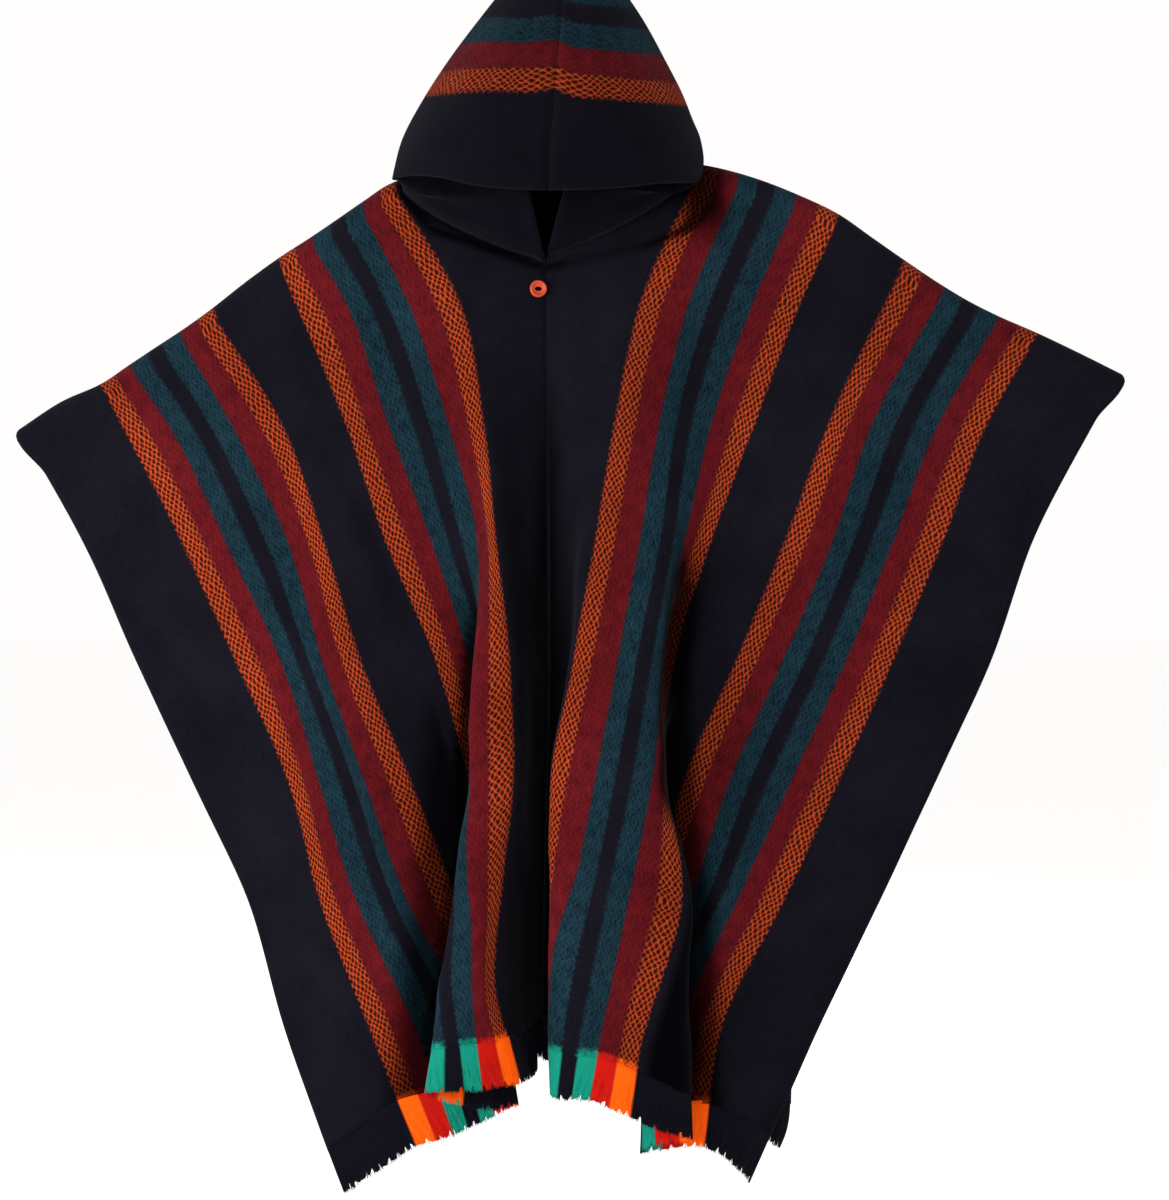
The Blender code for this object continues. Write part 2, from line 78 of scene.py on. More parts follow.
# The front at a few levels: drop, across of each station, out of each station.
frontLevels = {
    "left": (
        (300, (546, 503, 458, 408, 376, 345, 297, 256, 218, 176, 145, 115, 72, 28, -18),
              (34, 42, 46, 38, 34, 30, 26, 24, 22, 19, 18, 17, 16, 16, 16)),
        (420, (547, 516, 483, 448, 421, 387, 344, 311, 279, 230, 198, 166, 116, 63, 10),
              (34, 50, 66, 54, 47, 42, 42, 44, 42, 36, 31, 27, 21, 18, 16)),
        (540, (548, 524, 496, 479, 455, 431, 385, 354, 323, 288, 256, 225, 181, 132, 82),
              (30, 56, 84, 62, 50, 48, 50, 54, 54, 48, 42, 36, 27, 21, 16)),
        (660, (548, 532, 509, 474, 489, 470, 435, 398, 360, 323, 303, 281, 235, 186, 136),
              (26, 58, 96, 90, 68, 51, 52, 56, 58, 53, 48, 42, 31, 23, 16)),
        (780, (546, 532, 512, 467, 491, 499, 469, 439, 410, 365, 347, 319, 288, 240, 192),
              (24, 60, 102, 104, 87, 68, 54, 54, 54, 50, 46, 40, 33, 25, 18)),
        (900, (543, 527, 501, 472, 455, 479, 501, 488, 456, 408, 387, 356, 320, 284, 248),
              (22, 58, 100, 111, 100, 84, 66, 50, 48, 46, 44, 41, 35, 27, 20)),
        (1020, (540, 527, 505, 475, 452, 438, 474, 503, 502, 470, 445, 412, 366, 324, 282),
               (20, 60, 106, 117, 114, 98, 82, 72, 48, 36, 35, 37, 37, 30, 22)),
    ),
    "right": (
        (300, (546, 594, 642, 689, 720, 754, 802, 842, 882, 933, 966, 1000, 1050, 1106, 1160),
              (34, 42, 46, 40, 36, 32, 28, 26, 24, 20, 18, 17, 16, 16, 16)),
        (420, (547, 581, 616, 659, 684, 712, 756, 793, 831, 873, 907, 940, 989, 1043, 1098),
              (34, 52, 66, 60, 54, 46, 40, 40, 40, 38, 35, 31, 25, 20, 16)),
        (540, (548, 576, 596, 639, 667, 685, 713, 749, 786, 832, 863, 893, 943, 988, 1033),
              (30, 58, 84, 80, 73, 58, 48, 46, 48, 46, 43, 38, 31, 23, 16)),
        (660, (548, 574, 574, 617, 644, 667, 680, 708, 737, 782, 814, 846, 893, 942, 991),
              (26, 60, 100, 102, 100, 84, 54, 48, 50, 48, 46, 42, 34, 25, 16)),
        (780, (546, 574, 554, 595, 623, 652, 662, 650, 685, 729, 759, 791, 839, 887, 936),
              (24, 54, 93, 107, 110, 108, 84, 60, 50, 50, 48, 44, 37, 28, 18)),
        (900, (543, 577, 565, 575, 599, 628, 673, 678, 660, 690, 713, 737, 784, 832, 880),
              (22, 46, 79, 105, 113, 117, 106, 82, 60, 50, 50, 46, 39, 30, 20)),
        (1020, (541, 580, 585, 549, 575, 604, 645, 682, 685, 650, 652, 682, 724, 772, 822),
               (20, 42, 68, 93, 110, 118, 117, 106, 86, 64, 49, 45, 42, 33, 22)),
    ),
}

# The same two readings at the fringe ends.
fringeEnds = {
    "left": ((538, 536, 521, 484, 456, 424, 462, 497, 519, 496, 475, 455, 417, 380, 345),
             (18, 60, 108, 122, 124, 113, 90, 80, 61, 40, 34, 34, 35, 30, 22)),
    "right": ((541, 583, 586, 550, 563, 589, 630, 667, 693, 657, 640, 662, 704, 735, 749),
              (18, 38, 70, 97, 114, 122, 122, 112, 91, 67, 50, 43, 42, 24, 2)),
}


def smooth(x):
    x = max(0.0, min(1.0, x))
    return x * x * (3 - 2 * x)


def mix(a, b, t):
    return a + (b - a) * t


def bend(knots, values, x):
    # smooth curve through values at rising knots
    n = len(knots)
    i = 0
    while i < n - 2 and x > knots[i + 1]:
        i += 1
    h = knots[i + 1] - knots[i]
    t = (x - knots[i]) / h
    slope = (values[i + 1] - values[i]) / h
    before = after = slope
    if i > 0:
        h0 = knots[i] - knots[i - 1]
        before = ((values[i] - values[i - 1]) / h0 * h + slope * h0) / (h + h0)
    if i < n - 2:
        h1 = knots[i + 2] - knots[i + 1]
        after = (slope * h1 + (values[i + 2] - values[i + 1]) / h1 * h) / (h + h1)
    t2 = t * t
    t3 = t2 * t
    return ((2 * t3 - 3 * t2 + 1) * values[i] + (t3 - 2 * t2 + t) * h * before
            + (3 * t2 - 2 * t3) * values[i + 1] + (t3 - t2) * h * after)


def seat(across, drop, out):
    # metres from datum sizes, drawn in by what stands out towards the eye
    k = (datum["eye"] - out) / datum["eye"]
    a = datum["eyeAcross"] + (across - datum["eyeAcross"]) * k
    d = datum["eyeDrop"] + (drop - datum["eyeDrop"]) * k
    return Vector(((a - datum["across"]) * 0.001, -out * 0.001, (datum["drop"] - d) * 0.001))


def handOf(side):
    return -1.0 if side == "left" else 1.0


def stationAt(side, i, drop):
    # across and out of one station of the front at a drop
    top = ridge[side][i]
    knots = [top[1] + loom["roll"]]
    across = [top[0] - handOf(side) * 0.6 * loom["roll"] * i / 14]
    out = [loom["roll"]]
    for level in frontLevels[side]:
        if level[0] > top[1] + 45:
            knots.append(level[0])
            across.append(level[1][i])
            out.append(level[2][i])
    knots.append(hems[side][i])
    across.append(fringeEnds[side][0][i])
    out.append(fringeEnds[side][1][i])
    return bend(knots, across, drop), bend(knots, out, drop)


def seamGap(side, u, drop):
    room = mix(loom["seamTop"], loom["seamLow"], smooth((drop - 285) / 260))
    return handOf(side) * room * (1 - smooth(u / 0.03))


def frontRow(side, dropOf):
    # readings of every station along one row of the front
    drops = [dropOf(i) for i in range(len(stations))]
    pairs = [stationAt(side, i, drops[i]) for i in range(len(stations))]
    return [p[0] for p in pairs], drops, [p[1] for p in pairs]


def onRow(side, row, u):
    across, drops, outs = row
    d = bend(stations, drops, u)
    return bend(stations, across, u) + seamGap(side, u, d), d, bend(stations, outs, u)


def ridgeAt(side, u):
    return (bend(stations, [t[0] for t in ridge[side]], u), bend(stations, [t[1] for t in ridge[side]], u))


def backHem(side, u):
    w = u / loom["width"]
    if side == "left":
        return mix(545, 356, w), mix(1058, 1160, w ** 1.5)
    return mix(547, 768, w), mix(1058, 1150, w ** 1.5)


def backAt(side, u, s, low):
    # a point of the back, s from the shoulder down to low, the part of the way to the fringe ends
    a0, d0 = ridgeAt(side, u)
    a1, d1 = backHem(side, u)
    s = s * low
    d = mix(d0 + loom["roll"], d1, s)
    w = u / loom["width"]
    a = mix(a0, a1, s)
    edge = stationAt(side, 14, min(d, hems[side][14]))[0]
    line = mix(ridge[side][14][0], backHem(side, loom["width"])[0], s)
    inset = 6.0 if side == "left" else mix(-6.0, 15.0, smooth((d - 1060) / 80))
    a += (edge + inset - line) * w * w
    flat = 143.0
    topSpan = abs(ridge[side][14][0] - ridge[side][2][0])
    wide = mix(topSpan, abs(backHem(side, loom["width"])[0] - datum["across"]), s) / 4.0
    deep = 0.40 * math.sqrt(max(0.0, flat * flat - wide * wide)) * smooth(s * 1.15 + 0.02)
    phase = 0.35 if side == "left" else 0.6
    wave = 0.5 - 0.5 * math.cos(2 * math.pi * (3.6 * w + phase) + 0.5 * math.sin(5 * w + s * 1.2))
    out = -(loom["roll"] + deep * (0.15 + 0.85 * wave) + 5.0 * s)
    sway = 5.0 * smooth(s) * math.sin(2 * math.pi * (3.6 * w + phase))
    a += handOf(side) * sway * (1 - w) * smooth(w / 0.12)
    a += seamGap(side, u, d)
    if u == 0.0:
        out = min(out, -loom["roll"])
    return a, d, out


def neckCut(v, reach):
    if v >= reach:
        return 0.0
    return loom["neckHalf"] * (1 - (v / reach) ** 1.7) ** 0.62


def spread(u, cut):
    # moves the columns next to the seam out of the neck opening
    if u >= 0.153:
        return u
    return cut + u * (0.153 - cut) / 0.153


def panelAt(side, row, u):
    # distance from the seam, then across, drop and out of a point of a loom width
    kind, s, stationRow = row
    if kind == "front":
        length = hems[side][2] - loom["fringe"] - ridge[side][2][1] - loom["roll"]
        w = spread(u, neckCut(s * length + 12, loom["neckFront"]))
        return (w,) + tuple(onRow(side, stationRow, w))
    if kind == "back":
        w = spread(u, neckCut(s * 830 + 6, loom["neckBack"]))
        d1 = backHem(side, w)[1]
        d0 = ridgeAt(side, w)[1] + loom["roll"]
        return (w,) + tuple(backAt(side, w, s, (d1 - loom["fringe"] - d0) / (d1 - d0)))
    w = spread(u, neckCut(0.0, 1.0))
    a, d = ridgeAt(side, w)
    turn = math.radians(s)
    if s > 0:
        a -= handOf(side) * 0.6 * loom["roll"] * (w / loom["width"]) * (1 - math.cos(turn))
    return w, a, d + loom["roll"] * (1 - math.cos(turn)), loom["roll"] * math.sin(turn)


def rowOf(side, kind, s):
    if kind != "front":
        return kind, s, None

    def dropOf(i):
        return mix(ridge[side][i][1] + loom["roll"], hems[side][i] - loom["fringe"], s)

    return kind, s, frontRow(side, dropOf)


# Materials

woolLook = {
    "navy": ((0.0022, 0.0020, 0.0037), (0.0078, 0.0070, 0.0113)),
    "orangeStrand": (0.134, 0.0148, 0.0054),
    "orangeBright": (0.380, 0.053, 0.0122),
    "orangeHollow": (0.019, 0.0040, 0.003),
    "red": ((0.030, 0.0031, 0.0049), (0.124, 0.0074, 0.0100)),
    "teal": ((0.0024, 0.0068, 0.0112), (0.0098, 0.0305, 0.0430)),
    "netAcross": 0.0052,   # size of the open braid in the bright bands
    "netAlong": 0.0080,
    "hollowShade": 0.86,   # darkness of the folds' hollows
    "edgeWave": 0.0007,    # wander of the bands' edges, and the picks that it follows
    "pick": 0.0072,
    "sheen": 0.035,
}

yarnLook = {
    "navy": (0.0042, 0.0040, 0.0076),
    "orange": (0.940, 0.105, 0.004),
    "red": (0.450, 0.008, 0.005),
    "teal": (0.006, 0.215, 0.150),
}


def startMaterial(name):
    material = bpy.data.materials.new(name)
    material.use_nodes = True
    tree = material.node_tree
    return material, tree, tree.nodes["Principled BSDF"]


def calc(tree, operation, first, second=None, third=None):
    node = tree.nodes.new("ShaderNodeMath")
    node.operation = operation
    for i, value in enumerate((first, second, third)):
        if value is None:
            continue
        if isinstance(value, (int, float)):
            node.inputs[i].default_value = value
        else:
            tree.links.new(value, node.inputs[i])
    return node.outputs[0]


def noiseAt(tree, vector, scale, detail=2.0, rough=0.5):
    node = tree.nodes.new("ShaderNodeTexNoise")
    node.inputs["Scale"].default_value = scale
    node.inputs["Detail"].default_value = detail
    node.inputs["Roughness"].default_value = rough
    tree.links.new(vector, node.inputs["Vector"])
    return node.outputs["Fac"]


def blendColours(tree, factor, first, second):
    node = tree.nodes.new("ShaderNodeMix")
    node.data_type = "RGBA"
    tree.links.new(factor, node.inputs["Factor"])
    for socket, value in (("A", first), ("B", second)):
        target = [s for s in node.inputs if s.name == socket and s.type == "RGBA"][0]
        if isinstance(value, tuple):
            target.default_value = value + (1.0,)
        else:
            tree.links.new(value, target)
    return [s for s in node.outputs if s.type == "RGBA"][0]


def stretched(tree, vector, first, second):
    node = tree.nodes.new("ShaderNodeVectorMath")
    node.operation = "MULTIPLY"
    tree.links.new(vector, node.inputs[0])
    node.inputs[1].default_value = (first, second, 1.0)
    return node.outputs[0]


def scaled(tree, colour, factor):
    node = tree.nodes.new("ShaderNodeVectorMath")
    node.operation = "SCALE"
    tree.links.new(colour, node.inputs[0])
    tree.links.new(factor, node.inputs["Scale"])
    return node.outputs[0]


def rampOf(tree, factor, stops, interpolation="LINEAR"):
    node = tree.nodes.new("ShaderNodeValToRGB")
    node.color_ramp.interpolation = interpolation
    elements = node.color_ramp.elements
    while len(elements) < len(stops):
        elements.new(1.0)
    for element, (place, colour) in zip(elements, stops):
        element.position = place
    for element, (place, colour) in zip(elements, stops):
        element.color = tuple(colour) + (1.0,)
    tree.links.new(factor, node.inputs["Fac"])
    return node.outputs["Color"]


def bandMasks(tree, u, soft):
    # red, green and blue of this ramp mark the orange, red and teal bands; distances in metres over 0.6
    navy, orange, red, teal = (0, 0, 0), (1, 0, 0), (0, 1, 0), (0, 0, 1)
    stops = []
    for start in (0.110, 0.335):
        edges = (0.0, 0.0205, 0.0430, 0.0645, 0.0825, 0.1040, 0.1265, 0.1470)
        colours = (navy, orange, red, teal, navy, teal, red, orange, navy)
        for k, edge in enumerate(edges):
            stops.append(((start + edge - soft) / 0.6, colours[k]))
            stops.append(((start + edge + soft) / 0.6, colours[k + 1]))
    masks = rampOf(tree, calc(tree, "DIVIDE", u, 0.6), stops)
    split = tree.nodes.new("ShaderNodeSeparateColor")
    tree.links.new(masks, split.inputs["Color"])
    return split.outputs[0], split.outputs[1], split.outputs[2]


def woolMaterial(name, tone=1.0):
    material, tree, shader = startMaterial(name)
    look = woolLook
    uv = tree.nodes.new("ShaderNodeUVMap")
    uv.uv_map = "weave"
    split = tree.nodes.new("ShaderNodeSeparateXYZ")
    tree.links.new(uv.outputs["UV"], split.inputs[0])
    u, v = split.outputs[0], split.outputs[1]
    place = uv.outputs["UV"]
    broad = noiseAt(tree, place, 18.0, 3.0, 0.55)
    patchy = noiseAt(tree, place, 60.0, 2.0, 0.5)
    middle = noiseAt(tree, place, 150.0, 2.0, 0.5)
    fine = noiseAt(tree, place, 620.0, 2.0, 0.6)
    fibre = noiseAt(tree, place, 1700.0, 1.0, 0.6)
    worn = noiseAt(tree, place, 7.0, 2.0, 0.5)
    streak = noiseAt(tree, stretched(tree, place, 520.0, 95.0), 1.0, 3.0, 0.65)

    # the bands' edges step softly with the weft
    jitter = calc(tree, "MULTIPLY", middle, 9.0)
    wave = calc(tree, "SINE", calc(tree, "MULTIPLY_ADD", v, 2 * math.pi / look["pick"], jitter))
    edge = calc(tree, "MULTIPLY_ADD", wave, look["edgeWave"], u)
    edge = calc(tree, "MULTIPLY_ADD", calc(tree, "SUBTRACT", fine, 0.5), 0.0028, edge)
    orangeMask, redMask, tealMask = bandMasks(tree, edge, 0.0007)

    # open braid of strands round small hollows
    shiftU = calc(tree, "MULTIPLY_ADD", calc(tree, "SUBTRACT", middle, 0.5), 0.0036, u)
    shiftU = calc(tree, "MULTIPLY_ADD", calc(tree, "SUBTRACT", fine, 0.5), 0.0014, shiftU)
    shiftV = calc(tree, "MULTIPLY_ADD", calc(tree, "SUBTRACT", patchy, 0.5), 0.0110, v)
    netU = calc(tree, "MULTIPLY", shiftU, math.pi / look["netAcross"])
    netV = calc(tree, "MULTIPLY", shiftV, math.pi / look["netAlong"])
    one = calc(tree, "COSINE", calc(tree, "ADD", netU, netV))
    two = calc(tree, "COSINE", calc(tree, "SUBTRACT", netU, netV))
    net = calc(tree, "ABSOLUTE", calc(tree, "MULTIPLY", one, two))
    netSoft = calc(tree, "MULTIPLY_ADD", calc(tree, "SUBTRACT", fibre, 0.5), 0.5, net)

    # colours
    navyTone = calc(tree, "MULTIPLY_ADD", broad, 0.6, calc(tree, "MULTIPLY_ADD", fine, 0.6, -0.50))
    navyTone = calc(tree, "MULTIPLY_ADD", streak, 0.9, navyTone)
    navy = blendColours(tree, navyTone, *look["navy"])
    orange = rampOf(tree, netSoft, ((0.0, look["orangeBright"]), (0.30, look["orangeStrand"]),
                                    (0.56, tuple(0.55 * c for c in look["orangeStrand"])),
                                    (0.84, look["orangeHollow"])))
    redTone = calc(tree, "MULTIPLY_ADD", net, -0.25, calc(tree, "MULTIPLY_ADD", patchy, 0.7,
                   calc(tree, "MULTIPLY_ADD", streak, 1.3, -0.45)))
    red = blendColours(tree, redTone, *look["red"])
    tealTone = calc(tree, "MULTIPLY_ADD", net, -0.40, calc(tree, "MULTIPLY_ADD", patchy, 0.6,
                    calc(tree, "MULTIPLY_ADD", streak, 1.9, -0.62)))
    teal = blendColours(tree, tealTone, *look["teal"])
    colour = blendColours(tree, tealMask, navy, teal)
    colour = blendColours(tree, redMask, colour, red)
    colour = blendColours(tree, orangeMask, colour, orange)
    # slow random tone times the tone argument; a tone below one darkens the whole copy, on the hood as
    # painted shade
    colour = scaled(tree, colour, calc(tree, "MULTIPLY_ADD", worn, 0.9 * tone, 0.50 * tone))

    # the dark weft thins out above the fringe and the bare warp shows
    hemAndShadeUv = tree.nodes.new("ShaderNodeUVMap")
    hemAndShadeUv.uv_map = "hem"
    hemAndShadeSplit = tree.nodes.new("ShaderNodeSeparateXYZ")
    tree.links.new(hemAndShadeUv.outputs["UV"], hemAndShadeSplit.inputs[0])
    away = calc(tree, "MULTIPLY_ADD", calc(tree, "SUBTRACT", middle, 0.5), 0.016, hemAndShadeSplit.outputs[0])
    away = calc(tree, "MULTIPLY_ADD", calc(tree, "SUBTRACT", fine, 0.5), 0.010, away)
    bare = calc(tree, "MULTIPLY_ADD", away, -1 / 0.009, 1.0)
    bare = calc(tree, "MINIMUM", calc(tree, "MAXIMUM", bare, 0.0), 1.0)
    warp = blendColours(tree, tealMask, yarnLook["navy"], yarnLook["teal"])
    warp = blendColours(tree, redMask, warp, yarnLook["red"])
    warp = blendColours(tree, orangeMask, warp, yarnLook["orange"])
    streak = noiseAt(tree, stretched(tree, place, 2200.0, 110.0), 1.0, 2.0, 0.6)
    warp = scaled(tree, warp, calc(tree, "MULTIPLY_ADD", streak, 0.45, 0.66))
    colour = blendColours(tree, bare, colour, warp)
    # the hem value's second part is the shade in hollows
    lit = calc(tree, "MULTIPLY_ADD", hemAndShadeSplit.outputs[1], -look["hollowShade"], 1.0)
    colour = scaled(tree, colour, lit)
    tree.links.new(colour, shader.inputs["Base Color"])

    # relief of strands, weft and nap
    weft = calc(tree, "SINE", calc(tree, "MULTIPLY", v, 2 * math.pi / 0.0021))
    twill = calc(tree, "SINE", calc(tree, "MULTIPLY", calc(tree, "ADD", u, calc(tree, "MULTIPLY", v, 0.6)),
                                    2 * math.pi / 0.0026))
    quiet = calc(tree, "MULTIPLY", calc(tree, "ADD", redMask, tealMask), 0.45)
    bands = calc(tree, "ADD", orangeMask, quiet)
    relief = calc(tree, "MULTIPLY", calc(tree, "MULTIPLY", net, -1.0), bands)
    relief = calc(tree, "MULTIPLY_ADD", twill, 0.10, relief)
    relief = calc(tree, "MULTIPLY_ADD", weft, 0.06, relief)
    relief = calc(tree, "MULTIPLY_ADD", fibre, 0.9, relief)
    relief = calc(tree, "MULTIPLY_ADD", fine, 0.8, relief)
    bump = tree.nodes.new("ShaderNodeBump")
    bump.inputs["Strength"].default_value = 0.55
    bump.inputs["Distance"].default_value = 0.0007
    tree.links.new(relief, bump.inputs["Height"])
    tree.links.new(bump.outputs["Normal"], shader.inputs["Normal"])
    shader.inputs["Roughness"].default_value = 0.92
    shader.inputs["Specular IOR Level"].default_value = 0.0
    shader.inputs["Sheen Weight"].default_value = look["sheen"]
    shader.inputs["Sheen Roughness"].default_value = 0.45
    shader.inputs["Sheen Tint"].default_value = (0.60, 0.62, 0.72, 1.0)
    return material


def yarnMaterial(name):
    material, tree, shader = startMaterial(name)
    uv = tree.nodes.new("ShaderNodeUVMap")
    uv.uv_map = "weave"
    split = tree.nodes.new("ShaderNodeSeparateXYZ")
    tree.links.new(uv.outputs["UV"], split.inputs[0])
    u, v = split.outputs[0], split.outputs[1]
    orangeMask, redMask, tealMask = bandMasks(tree, u, 0.0002)
    colour = blendColours(tree, tealMask, yarnLook["navy"], yarnLook["teal"])
    colour = blendColours(tree, redMask, colour, yarnLook["red"])
    colour = blendColours(tree, orangeMask, colour, yarnLook["orange"])
    grain = noiseAt(tree, stretched(tree, uv.outputs["UV"], 2200.0, 110.0), 1.0, 2.0, 0.6)
    twist = calc(tree, "SINE", calc(tree, "MULTIPLY_ADD", v, 2 * math.pi / 0.0030,
                                    calc(tree, "MULTIPLY", u, 9000.0)))
    shade = calc(tree, "MULTIPLY_ADD", grain, 0.45, calc(tree, "MULTIPLY_ADD", twist, 0.04, 0.66))
    tree.links.new(scaled(tree, colour, shade), shader.inputs["Base Color"])
    bump = tree.nodes.new("ShaderNodeBump")
    bump.inputs["Strength"].default_value = 0.4
    bump.inputs["Distance"].default_value = 0.0004
    tree.links.new(calc(tree, "ADD", twist, grain), bump.inputs["Height"])
    tree.links.new(bump.outputs["Normal"], shader.inputs["Normal"])
    shader.inputs["Roughness"].default_value = 0.9
    shader.inputs["Specular IOR Level"].default_value = 0.0
    shader.inputs["Sheen Weight"].default_value = 0.02
    shader.inputs["Sheen Roughness"].default_value = 0.5
    return material


def grainMaterial(name, light, dark, roughness, scale, stretch, metallic=0.0, coat=0.0):
    # plain material with a stretched grain, for the hanger and the button
    material, tree, shader = startMaterial(name)
    where = tree.nodes.new("ShaderNodeTexCoord")
    mapping = tree.nodes.new("ShaderNodeMapping")
    mapping.inputs["Scale"].default_value = stretch
    tree.links.new(where.outputs["Object"], mapping.inputs["Vector"])
    grain = noiseAt(tree, mapping.outputs["Vector"], scale, 4.0, 0.6)
    tree.links.new(blendColours(tree, grain, light, dark), shader.inputs["Base Color"])
    bump = tree.nodes.new("ShaderNodeBump")
    bump.inputs["Strength"].default_value = 0.15
    bump.inputs["Distance"].default_value = 0.0003
    tree.links.new(grain, bump.inputs["Height"])
    tree.links.new(bump.outputs["Normal"], shader.inputs["Normal"])
    shader.inputs["Roughness"].default_value = roughness
    shader.inputs["Metallic"].default_value = metallic
    shader.inputs["Coat Weight"].default_value = coat
    shader.inputs["Specular IOR Level"].default_value = 0.3
    return material


clothWool = woolMaterial("clothWool")
# the hood's copy is darker all over: painted shade for the hood, which faces up, away from the light
hoodWoolPaintedShade = woolMaterial("hoodWoolPaintedShade", 0.74)
fringeYarn = yarnMaterial("fringeYarn")
buttonOrange = grainMaterial("buttonOrange", (0.50, 0.056, 0.014), (0.32, 0.030, 0.009), 0.45, 260.0,
                             (1, 1, 1))
hangerWood = grainMaterial("hangerWood", (0.50, 0.30, 0.15), (0.33, 0.17, 0.075), 0.5, 26.0, (0.4, 6, 6),
                           coat=0.2)
hookSteel = grainMaterial("hookSteel", (0.30, 0.30, 0.30), (0.20, 0.20, 0.21), 0.42, 90.0, (6, 6, 1),
                          metallic=1.0)
print("materials made")


# Mesh helpers

def meshPiece(name, points, faces, material, uvs=None, thick=None):
    mesh = bpy.data.meshes.new(name)
    mesh.from_pydata([tuple(p) for p in points], [], faces)
    mesh.update()
    if uvs is not None:
        order = np.empty(len(mesh.loops), dtype=np.int32)
        mesh.loops.foreach_get("vertex_index", order)
        layers = uvs if isinstance(uvs, dict) else {"weave": uvs, "hem": [(1.0, 0.0)] * len(points)}
        for layerName, values in layers.items():
            layer = mesh.uv_layers.new(name=layerName)
            layer.data.foreach_set("uv", np.asarray(values, dtype=np.float32)[order].ravel())
    mesh.polygons.foreach_set("use_smooth", [True] * len(mesh.polygons))
    mesh.materials.append(material)
    piece = bpy.data.objects.new(name, mesh)
    bpy.context.scene.collection.objects.link(piece)
    if thick:
        wall = piece.modifiers.new("wall", "SOLIDIFY")
        wall.thickness = thick
        wall.offset = 0.0
        wall.use_rim = True
    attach(piece, "root")
    return piece


def gridFaces(nRows, nCols, start=0):
    faces = []
    for r in range(nRows - 1):
        for c in range(nCols - 1):
            a = start + r * nCols + c
            faces.append((a, a + 1, a + 1 + nCols, a + nCols))
    return faces


def addTube(points, radii, sides, verts, faces, uvs=None, uvOf=None):
    # adds a closed tube along a line of points
    start = len(verts)
    n = len(points)
    for i in range(n):
        along = (points[min(n - 1, i + 1)] - points[max(0, i - 1)]).normalized()
        over = Vector((0, 1, 0)) - along * along.y
        if over.length < 0.1:
            over = Vector((1, 0, 0)) - along * along.x
        over.normalize()
        beside = along.cross(over)
        for k in range(sides):
            t = 2 * math.pi * k / sides
            verts.append(points[i] + radii[i] * (math.cos(t) * over + math.sin(t) * beside))
            if uvs is not None:
                uvs.append(uvOf[i])
    for i in range(n - 1):
        for k in range(sides):
            a = start + i * sides + k
            b = start + i * sides + (k + 1) % sides
            faces.append((a, b, b + sides, a + sides))
    faces.append(tuple(start + k for k in reversed(range(sides))))
    faces.append(tuple(start + (n - 1) * sides + k for k in range(sides)))


# The two loom widths

clothSettings = {
    "between": 8,        # columns between two stations
    "frontRows": 168,
    "rollRows": 9,
    "backRows": 150,
    "wander": 1.1,       # slow unevenness of the cloth, mm
    "neckHollow": 2.5,   # depth beside the neck seam, mm
    "neckCrease": 2.5,   # depth of the crease under it
    "tip": 9.0,          # how far the selvedge reaches out under the shoulder's tip, mm
}

# Soft creases of the front: across and drop of both ends, half width, depth in mm (a ridge is negative),
# and the part of the loom width that carries each.
creases = {
    "left": (
        (255, 890, 372, 862, 5, 1.6, 0.45, 0.572),
        (300, 560, 392, 760, 14, 3.0, 0.24, 0.36),
        (352, 470, 420, 640, 12, -2.4, 0.24, 0.34),
        (60, 420, 190, 600, 16, 2.6, 0.46, 0.572),
        (120, 560, 230, 760, 14, -2.2, 0.47, 0.572),
        (420, 330, 470, 560, 12, 2.6, 0.10, 0.20),
        (512, 330, 528, 620, 14, 3.0, 0.02, 0.10),
        (470, 240, 500, 420, 14, -2.4, 0.02, 0.12),
        (330, 250, 392, 420, 16, 2.4, 0.15, 0.26),
    ),
    "right": (
        (700, 742, 905, 812, 5, 1.7, 0.24, 0.572),
        (720, 830, 905, 900, 5, 1.9, 0.33, 0.572),
        (760, 440, 716, 640, 14, 2.8, 0.24, 0.34),
        (860, 330, 790, 520, 15, -2.4, 0.26, 0.37),
        (1040, 420, 960, 640, 15, 2.6, 0.46, 0.572),
        (985, 560, 900, 760, 15, -2.2, 0.46, 0.572),
        (640, 330, 600, 560, 13, 2.8, 0.06, 0.14),
        (572, 330, 566, 640, 14, 3.0, 0.02, 0.10),
        (702, 250, 690, 420, 14, -2.0, 0.13, 0.24),
    ),
}


def columnPlaces(per):
    places = []
    for i in range(len(stations) - 1):
        for k in range(per):
            places.append(mix(stations[i], stations[i + 1], k / per))
    places.append(loom["width"])
    return places


def gridNormals(points):
    alongRows = np.gradient(points, axis=0)
    alongCols = np.gradient(points, axis=1)
    normals = np.cross(alongRows, alongCols)
    length = np.linalg.norm(normals, axis=2, keepdims=True)
    return normals / np.maximum(length, 1e-9)


def creaseHeight(side, readings, us, isFront):
    # mm that the cloth is moved out at each point of the grid
    across, drop = readings[:, :, 0], readings[:, :, 1]
    height = np.zeros(across.shape)
    for a0, d0, a1, d1, half, depth, low, high in creases[side]:
        reach = math.hypot(a1 - a0, d1 - d0)
        t = ((across - a0) * (a1 - a0) + (drop - d0) * (d1 - d0)) / reach ** 2
        off = ((across - a0) * (d1 - d0) - (drop - d0) * (a1 - a0)) / reach
        off = off + half * 0.5 * np.sin(t * 5.1 + a0)
        ends = np.clip(t / 0.3, 0, 1) * np.clip((1 - t) / 0.3, 0, 1)
        part = np.clip((us - low) / 0.02, 0, 1) * np.clip((high - us) / 0.02, 0, 1)
        height -= depth * np.exp(-(off / half) ** 2) * ends * ends * (3 - 2 * ends) * part * isFront
    return height


